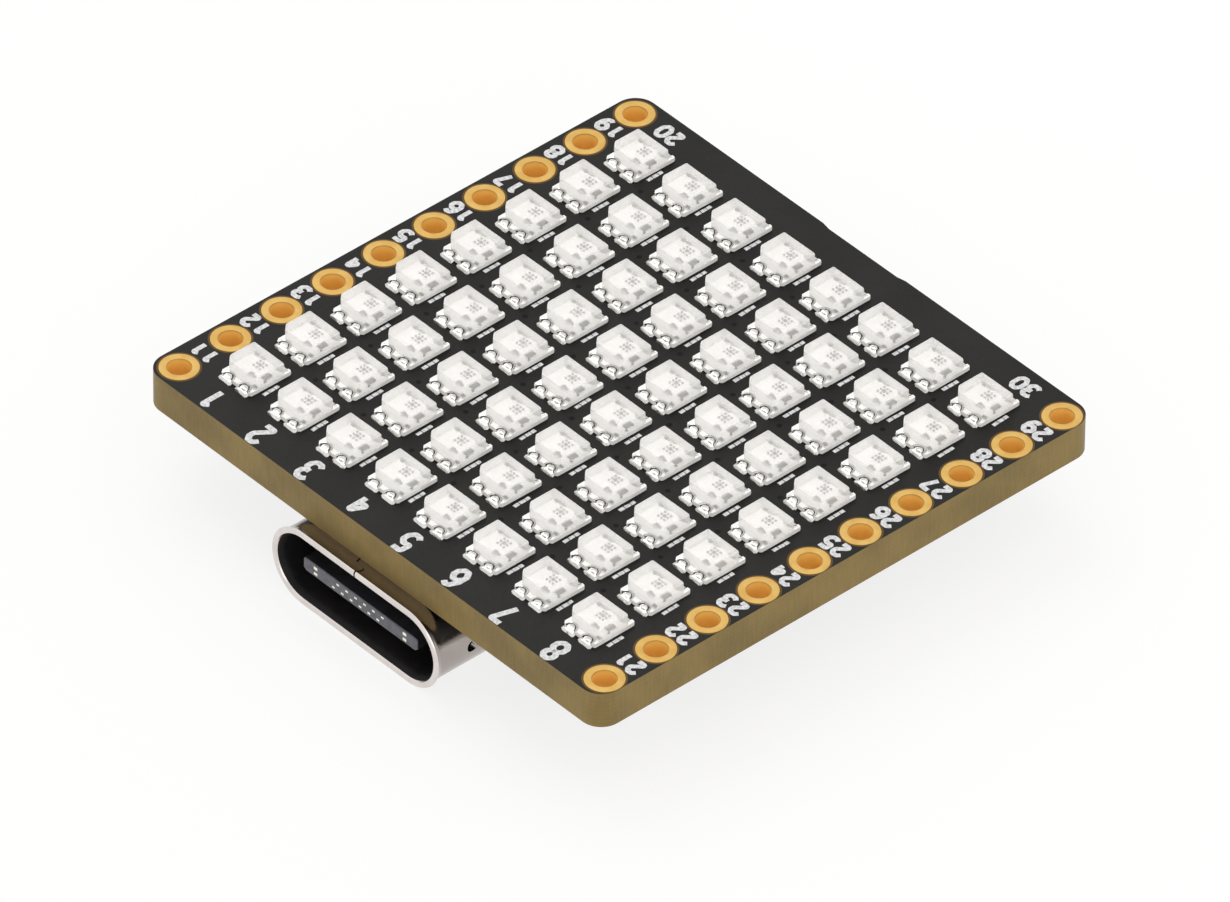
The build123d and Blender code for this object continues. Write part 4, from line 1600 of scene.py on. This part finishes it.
@dataclass
class UsbTongue:
    """Moulded block at the back of the USB shell, its tongue, and two interleaved contact rows."""

    copies: Tree
    block_half_width: float = 4.25
    block_half_height: float = 1.3
    block_depth: float = 4.9
    back_depth: float = 7.3
    round_steps: int = 16
    tongue_half_width: float = 3.2
    tongue_half_height: float = 0.3
    tongue_root: float = 0.2
    nose_depth: float = 0.3
    nose_chamfer: float = 0.14
    nose_rounding: float = 0.05
    contact_pitch: float = 0.5
    contact_size: tuple[float, float] = (0.14, 0.11)
    outer_size: tuple[float, float] = (0.19, 0.16)
    outer_x: float = 2.5
    contact_proud: float = 0.012
    tip_height: float = 0.13
    surfacing: tuple[float, float] = (1.1, 1.3)
    tail_width: float = 0.2
    tail_gap: float = 0.1

    def block(self) -> bpy.types.Mesh:
        """The block and the tongue with its chamfered nose, painted paler than the rest as painted light.
        """
        shape = Shape()
        radius = self.block_half_height
        straight = self.block_half_width - radius
        outline = []
        for hand in (1, -1):
            for k in range(self.round_steps + 1):
                angle = math.pi * k / self.round_steps - math.pi / 2
                outline.append(
                    (hand * (straight + radius * math.cos(angle)), hand * radius * math.sin(angle))
                )
        shape.slab(outline, outline, self.block_depth, self.back_depth)
        half, tall, cut = self.tongue_half_width, self.tongue_half_height, self.nose_chamfer
        outline = [
            (-half + cut, -tall),
            (half - cut, -tall),
            (half, -tall + 0.8 * cut),
            (half, tall - 0.5 * cut),
            (half - 0.5 * cut, tall),
            (-half + 0.5 * cut, tall),
            (-half, tall - 0.5 * cut),
            (-half, -tall + 0.8 * cut),
        ]
        front, root = self.nose_depth, self.block_depth + self.tongue_root
        shape.slab(outline, outline, front, root)
        nose = next(
            face for face in shape.bm.faces if all(abs(v.co.z - front) < 1e-6 for v in face.verts)
        )
        round_off(shape.bm, list(nose.edges), self.nose_rounding)
        # The faces at the nose get the painted light
        for face in shape.bm.faces:
            if face.calc_center_median().z < front + self.nose_rounding:
                face.material_index = 1
        # What was drawn upwards runs back from the mouth
        for vert in shape.bm.verts:
            x, y, z = vert.co
            vert.co = (x, MOUTH_Y + z, USB_MIDDLE_Z + y)
        return dress(
            shape.mesh("usb_insulator", 30), Finishes.INSULATOR, Finishes.INSULATOR_NOSE
        )

    def strip(self, size: tuple[float, float], hand: int, tail_place: float) -> bpy.types.Mesh:
        """One contact: a strip in the tongue, and a tail that bends up to the board behind the block.

        Args:
            size: Width and height of its section on the tongue.
            hand: 1 for the upper row and -1 for the lower one.
            tail_place: Distance of its tail behind the shell.

        Returns:
            The contact, about X of 0.
        """
        wide, tall = size
        outer = hand * (self.tongue_half_height + self.contact_proud)
        inner = outer - hand * tall
        top, low = max(outer, inner), min(outer, inner)
        front = self.nose_depth - self.contact_proud
        tip_top, tip_low = hand * self.tip_height + tall / 2, hand * self.tip_height - tall / 2
        dive, surface = self.surfacing
        tail, bend = self.back_depth + tail_place, self.tail_width
        rise = UNDERSIDE_Z - USB_MIDDLE_Z
        # Depth and height of the strip's two sides at each place along it
        route = (
            (front, tip_top - 0.03, front, tip_low + 0.03),
            (front + 0.02, tip_top, front + 0.02, tip_low),
            (dive, tip_top, dive, tip_low),
            (surface, top, surface, low),
            (tail - 0.1, top, tail, low),
            (tail, top + 0.1, tail + bend - 0.06, low + 0.03),
            (tail, top + 0.16, tail + bend, low + 0.12),
            (tail, rise, tail + bend, rise),
        )
        rows = []
        for depth_a, height_a, depth_b, height_b in route:
            near, far = (depth_a, height_a), (depth_b, height_b)
            ring = []
            for side, (depth, height) in ((-1, near), (1, near), (1, far), (-1, far), (-1, near)):
                ring.append((side * wide / 2, MOUTH_Y + depth, USB_MIDDLE_Z + height))
            rows.append(ring)
        shape = Shape()
        shape.grid(rows, capped=True)
        return shape.mesh("contact_template", 30)

    def build(self) -> None:
        """Build the moulding and the two rows."""
        add_piece("usb_tongue", self.block(), ["usb_insulator"])
        for row, hand, shift, tail in (
            ("upper", 1, 0.0, self.tail_gap),
            ("lower", -1, -self.contact_pitch / 2, 2 * self.tail_gap + self.tail_width),
        ):
            name = f"usb_contacts_{row}"
            contacts = []
            for size, grid in (
                (self.contact_size, Grid(6, 1, self.contact_pitch, 0.0, (shift, 0.0, 0.0))),
                (self.outer_size, Grid(2, 1, 2 * self.outer_x, 0.0)),
            ):
                template = self.strip(size, hand, tail)
                contacts.append(grid.fill(template, self.copies, Finishes.CONTACT))
            add_piece(f"{name}_strips", join(name, contacts), [name])


@dataclass(frozen=True)
class Joint:
    """A row of solder fillets along one side of a part under the board.

    The fillets start at a side of the node's box. Facing is a quarter turn: 0 for +X, 1 for +Y,
    2 for -X and 3 for -Y.
    """

    node: str
    facing: int
    width: float
    reach: float
    height: float
    count: int = 1
    pitch: float = 0.0

    def grid(self) -> Grid:
        """Where the fillets stand, on the underside."""
        (x0, y0, _), (x1, y1, _) = node_box(self.node)
        x, y = (x0 + x1) / 2, (y0 + y1) / 2
        edge = ((x1, y), (x, y1), (x0, y), (x, y0))[self.facing]
        counts = (1, self.count) if self.facing in (0, 2) else (self.count, 1)
        return Grid(*counts, self.pitch, self.pitch, (*edge, UNDERSIDE_Z))


@dataclass
class Underside:
    """Solder, masked copper and pin-one marks on the face that carries the electronics."""

    copies: Tree
    lines: Tree
    track: Line = Line(0.2, 0.012, 0.05, Finishes.MASKED_COPPER, UNDERSIDE_Z)
    track_start: float = 0.1
    first_channel: float = 0.75
    channel_pitch: float = 0.34
    pad_pitch: float = 0.4
    bend: float = 0.25
    hole_clearance: float = 0.7
    chip_half_length: float = 0.5
    capacitor_rows: tuple[float, float] = (1.6, 8.8)
    resistor_y: float = 7.6
    foot_edge: float = 5.25
    tail_rows: tuple[tuple[float, float], ...] = ((0.0, -5.6), (-0.25, -5.3))
    # Share of its reach and of its height at each point down a fillet's hollow
    hollow: Path = ((-0.02, 1.0), (0.12, 0.72), (0.4, 0.3), (0.72, 0.12), (1.0, 0.0))
    flank: float = 0.72
    # Node, inset from its corner and radius of each first-pin dimple
    dimples: tuple[tuple[str, float, float], ...] = (
        ("controller", 0.8, 0.3),
        ("flash_memory", 0.4, 0.16),
    )

    def joints(self) -> list[Joint]:
        """Every row of fillets that lies along a side of a part's box."""
        found = [
            Joint("controller", facing, 0.22, 0.3, 0.2, 14, self.pad_pitch) for facing in range(4)
        ]
        for facing in (0, 2):
            found.append(Joint("flash_memory", facing, 0.26, 0.28, 0.15, 4, 0.5))
            found.append(Joint("crystal_base", facing, 0.9, 0.32, 0.22, 2, 1.5))
            found.append(Joint("inductor", facing, 1.5, 0.4, 0.5))
        found.append(Joint("regulator_leads", 3, 0.5, 0.25, 0.14, 3, 0.95))
        found.append(Joint("regulator_leads", 1, 0.5, 0.25, 0.14, 2, 1.9))
        for button in BUTTONS:
            for facing in (0, 2):
                found.append(Joint(f"{button}_button_leads", facing, 0.75, 0.3, 0.2, 2, 1.8))
        return found

    def other_fillets(self) -> list[tuple[tuple[float, float, float, int], Grid]]:
        """Width, reach, height and facing of the chips', feet's and tails' fillets, with grids."""
        found = []
        row, apart = self.capacitor_rows
        for facing, hand in ((0, 1), (2, -1)):
            end = hand * self.chip_half_length
            chip = (0.5, 0.24, 0.34, facing)
            capacitors = (CAPACITOR_X + end, row, UNDERSIDE_Z)
            resistors = (RESISTOR_X + end, self.resistor_y, UNDERSIDE_Z)
            feet = (hand * self.foot_edge, MOUTH_Y + 4.6, UNDERSIDE_Z)
            found.append((chip, Grid(CHIPS_PER_ROW, 2, CHIP_PITCH, apart, capacitors)))
            found.append((chip, Grid(CHIPS_PER_ROW, 1, CHIP_PITCH, 0.0, resistors)))
            found.append(((1.2, 0.35, 0.26, facing), Grid(1, 2, 0.0, 3.4, feet)))
        for shift, y in self.tail_rows:
            found.append(((0.26, 0.2, 0.3, 1), Grid(6, 1, 0.5, 0.0, (shift, y, UNDERSIDE_Z))))
            found.append(((0.34, 0.2, 0.3, 1), Grid(2, 1, 5.0, 0.0, (0.0, y, UNDERSIDE_Z))))
        return found

    def fillet(self, width: float, reach: float, height: float, facing: int) -> bpy.types.Mesh:
        """One concave fillet against an upright wall, on the underside."""
        rows = []
        for share, flare in ((1.0, self.flank), (0.0, 1.0), (-1.0, self.flank)):
            y = share * width / 2
            rows.append([(x * reach * flare, y, -z * height * flare) for x, z in self.hollow])
        # Each end turns up into the board
        ends = [[(x, y, 0.02) for x, y, _ in row] for row in (rows[0], rows[-1])]
        shape = Shape()
        shape.grid([ends[0], *rows, ends[1]])
        turn = Matrix.Rotation(math.pi / 2 * facing, 4, "Z")
        bmesh.ops.transform(shape.bm, matrix=turn, verts=shape.bm.verts)
        return shape.mesh("fillet_template", 50)

    def solder(self) -> bpy.types.Mesh:
        """Fillets of every part, the chips' ends, the USB feet and the USB tails."""
        wanted = [
            ((joint.width, joint.reach, joint.height, joint.facing), joint.grid())
            for joint in self.joints()
        ]
        found = []
        for sizes, grid in wanted + self.other_fillets():
            found.append(grid.fill(self.fillet(*sizes), self.copies, Finishes.SOLDER))
        return join("underside_solder", found)

    def tracks(self) -> bpy.types.Mesh:
        """Masked copper from the controller's side pads to the header holes, without crossings."""
        (x0, y0, _), (x1, y1, _) = node_box("controller")
        pads = spread(HOLES_PER_ROW, self.pad_pitch, (y0 + y1) / 2)
        holes = spread(HOLES_PER_ROW, PIN_PITCH)
        paths = []
        for hand, wall in ((-1, x0), (1, x1)):
            for hole, (pad_y, hole_y) in enumerate(zip(pads, holes)):
                way = 1 if hole_y > pad_y else -1
                rank = HOLES_PER_ROW - 1 - hole if way > 0 else hole
                channel = wall + hand * (self.first_channel + rank * self.channel_pitch)
                # Just under half the way, so that two bends never meet
                bend = min(self.bend, abs(hole_y - pad_y) / 2.01)
                paths.append(
                    [
                        (wall + hand * self.track_start, pad_y),
                        (channel - hand * bend, pad_y),
                        (channel, pad_y + way * bend),
                        (channel, hole_y - way * bend),
                        (channel + hand * bend, hole_y),
                        (hand * (HEADER_X - self.hole_clearance), hole_y),
                    ]
                )
        return self.track.draw("tracks", paths, self.lines)

    def marks(self) -> bpy.types.Mesh:
        """Moulded dimples that mark the first pin of the controller and of the memory."""
        shape = Shape()
        for node, inset, radius in self.dimples:
            low, high = node_box(node)
            face, pole = low[2], 0.001
            profile = [
                (pole, face + 0.01),
                (radius, face + 0.01),
                (radius, face - 0.004),
                (radius - 0.03, face - 0.006),
                (radius - 0.06, face - 0.002),
                (pole, face - 0.002),
            ]
            shape.spin(profile, 24, (low[0] + inset, high[1] - inset))
        return dress(shape.mesh("marks", 50), Finishes.BUTTON_BASE)

    def build(self) -> None:
        """Build all that lies on the underside."""
        add_piece("underside_solder", self.solder())
        add_piece("masked_tracks", self.tracks())
        add_piece("first_pin_marks", self.marks())


@dataclass(frozen=True)
class RoundedNode:
    """A CAD node whose edges get the small radius that its mould, press or kiln leaves."""

    node: str
    radius: float
    slot: str
    body: str = "board"
    least_degrees: float = 40.0
    flat_degrees: float = 1.0
    merge: float = 0.0001

    def build(self) -> None:
        """Copy the node's mesh, join its flat triangles and round the edges between its faces."""
        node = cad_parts[self.node]
        bm = bmesh.new()
        bm.from_mesh(node.data)
        bm.transform(node.matrix_world)
        bmesh.ops.remove_doubles(bm, verts=bm.verts, dist=self.merge * MM)
        flat, least = math.radians(self.flat_degrees), math.radians(self.least_degrees)
        bmesh.ops.dissolve_limit(bm, angle_limit=flat, verts=bm.verts, edges=bm.edges)
        sharp = [edge for edge in bm.edges if edge.is_manifold and edge.calc_face_angle(0.0) > least]
        round_off(bm, sharp, self.radius * MM)
        mesh = bpy.data.meshes.new(f"{self.node}_rounded")
        bm.to_mesh(mesh)
        bm.free()
        smooth(mesh, self.least_degrees)
        dress(mesh, NODE_FINISHES[self.node])
        add_piece(mesh.name, mesh, [self.node], self.body)


def rounded_nodes() -> list[RoundedNode]:
    """Every node on the underside that has edges large enough to see."""
    found = [
        RoundedNode("controller", 0.035, "package_resin"),
        RoundedNode("flash_memory", 0.05, "package_resin"),
        RoundedNode("regulator_body", 0.05, "package_resin"),
        RoundedNode("inductor", 0.08, "ferrite"),
        RoundedNode("crystal_base", 0.04, "chip_ceramic"),
        RoundedNode("crystal_lid", 0.05, "crystal_metal"),
        RoundedNode("capacitors", 0.03, "capacitor_ceramic"),
        RoundedNode("resistors", 0.025, "chip_ceramic"),
    ]
    for button in BUTTONS:
        found += [
            RoundedNode(f"{button}_button_base", 0.06, "button_plastic"),
            RoundedNode(f"{button}_button_cover", 0.05, "button_steel"),
            RoundedNode(f"{button}_button_plunger", 0.07, "plunger_plastic", f"{button}_plunger"),
        ]
    return found


# Studio


@dataclass(frozen=True)
class PhotoCamera:
    """The photograph's camera, from a fit to the header holes. Lengths in millimetres."""

    azimuth: float = 47.842
    elevation: float = 39.808
    roll: float = 0.582
    distance: float = 752.88
    slide: tuple[float, float] = (-0.191, -2.218)
    focal_pixels: float = 20176.7
    image_width: int = 1230

    def build(self) -> None:
        """Make the camera and set it as the scene's."""
        turn, rise, roll = (math.radians(a) for a in (self.azimuth, self.elevation, self.roll))
        back = Vector(
            (math.sin(turn) * math.cos(rise), -math.cos(turn) * math.cos(rise), math.sin(rise))
        )
        level = Vector((math.cos(turn), math.sin(turn), 0.0))
        above = back.cross(level)
        right = level * math.cos(roll) + above * math.sin(roll)
        up = above * math.cos(roll) - level * math.sin(roll)
        data = bpy.data.cameras.new("photo_camera")
        data.sensor_fit, data.sensor_width = "HORIZONTAL", 36.0
        data.lens = self.focal_pixels * data.sensor_width / self.image_width
        data.clip_start, data.clip_end = 0.01, 100.0
        camera = new_object("photo_camera", data)
        place = back * self.distance + right * self.slide[0] + up * self.slide[1]
        turned = Matrix((right, up, back)).transposed().to_4x4()
        camera.matrix_world = Matrix.Translation(place * MM) @ turned
        bpy.context.scene.camera = camera


@dataclass(frozen=True)
class Lamp:
    """A soft square lamp that points at the board. Lengths in millimetres, power in watts."""

    name: str
    place: Point
    size: float
    power: float

    def build(self) -> None:
        """Hang the lamp."""
        data = bpy.data.lights.new(self.name, "AREA")
        data.shape, data.size, data.energy = "SQUARE", self.size * MM, self.power
        lamp = new_object(self.name, data)
        lamp.location = Vector(self.place) * MM
        lamp.rotation_mode = "QUATERNION"
        lamp.rotation_quaternion = (-lamp.location).to_track_quat("-Z", "Y")


@dataclass(frozen=True)
class Studio:
    """White floor, even white surroundings and two soft lamps."""

    surround: float = 0.9
    floor_reach: float = 600.0
    lamps: tuple[Lamp, ...] = (
        Lamp("key_lamp", (-180.0, 60.0, 320.0), 220.0, 0.25),
        Lamp("fill_lamp", (260.0, -120.0, 160.0), 240.0, 0.12),
    )

    def floor(self) -> None:
        """Lay the floor at the object's lowest point."""
        reach, level = self.floor_reach * MM, FLOOR_Z * MM
        corners = ((-1, -1), (1, -1), (1, 1), (-1, 1))
        mesh = bpy.data.meshes.new("studio_floor")
        mesh.from_pydata([(x * reach, y * reach, level) for x, y in corners], [], [(0, 1, 2, 3)])
        new_object("studio_floor", dress(mesh, Finishes.FLOOR))

    def world(self) -> None:
        """Light the scene evenly, and show plain white to the camera and in reflections."""
        world = bpy.data.worlds.new("studio")
        world.use_nodes = True
        tree = world.node_tree
        tree.nodes.clear()
        soft = add_node(tree, "ShaderNodeBackground", (linear("FFFDFA"), self.surround))
        white = add_node(tree, "ShaderNodeBackground", (linear("FFFFFF"), 1.0))
        mixed = add_node(tree, MIX_SHADER, (plain_rays(tree), soft, white))
        add_node(tree, "ShaderNodeOutputWorld", (mixed,))
        bpy.context.scene.world = world

    def build(self) -> None:
        """Build the floor, the surroundings and the lamps."""
        self.floor()
        self.world()
        for lamp in self.lamps:
            lamp.build()
        bpy.context.scene.view_settings.view_transform = "Standard"


def dress_cad_nodes() -> None:
    """Give every CAD node that has no piece of its own its finish, and the rounded ones too."""
    for name, finish in NODE_FINISHES.items():
        dress(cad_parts[name].data, finish)
        log.info("%s: %s", name, finish.value.name)


def main() -> None:
    """Build the scene."""
    logging.basicConfig(level=logging.INFO, format="%(message)s")
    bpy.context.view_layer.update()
    PhotoCamera().build()
    Studio().build()
    dress_cad_nodes()
    copies, lines = NodeTrees.copies(), NodeTrees.lines()
    LedField(copies).build()
    HeaderPads(copies).build()
    Silkscreen(copies, lines).build()
    UsbShell().build()
    UsbTongue(copies).build()
    Underside(copies, lines).build()
    for part in rounded_nodes():
        part.build()


if __name__ == "__main__":
    main()
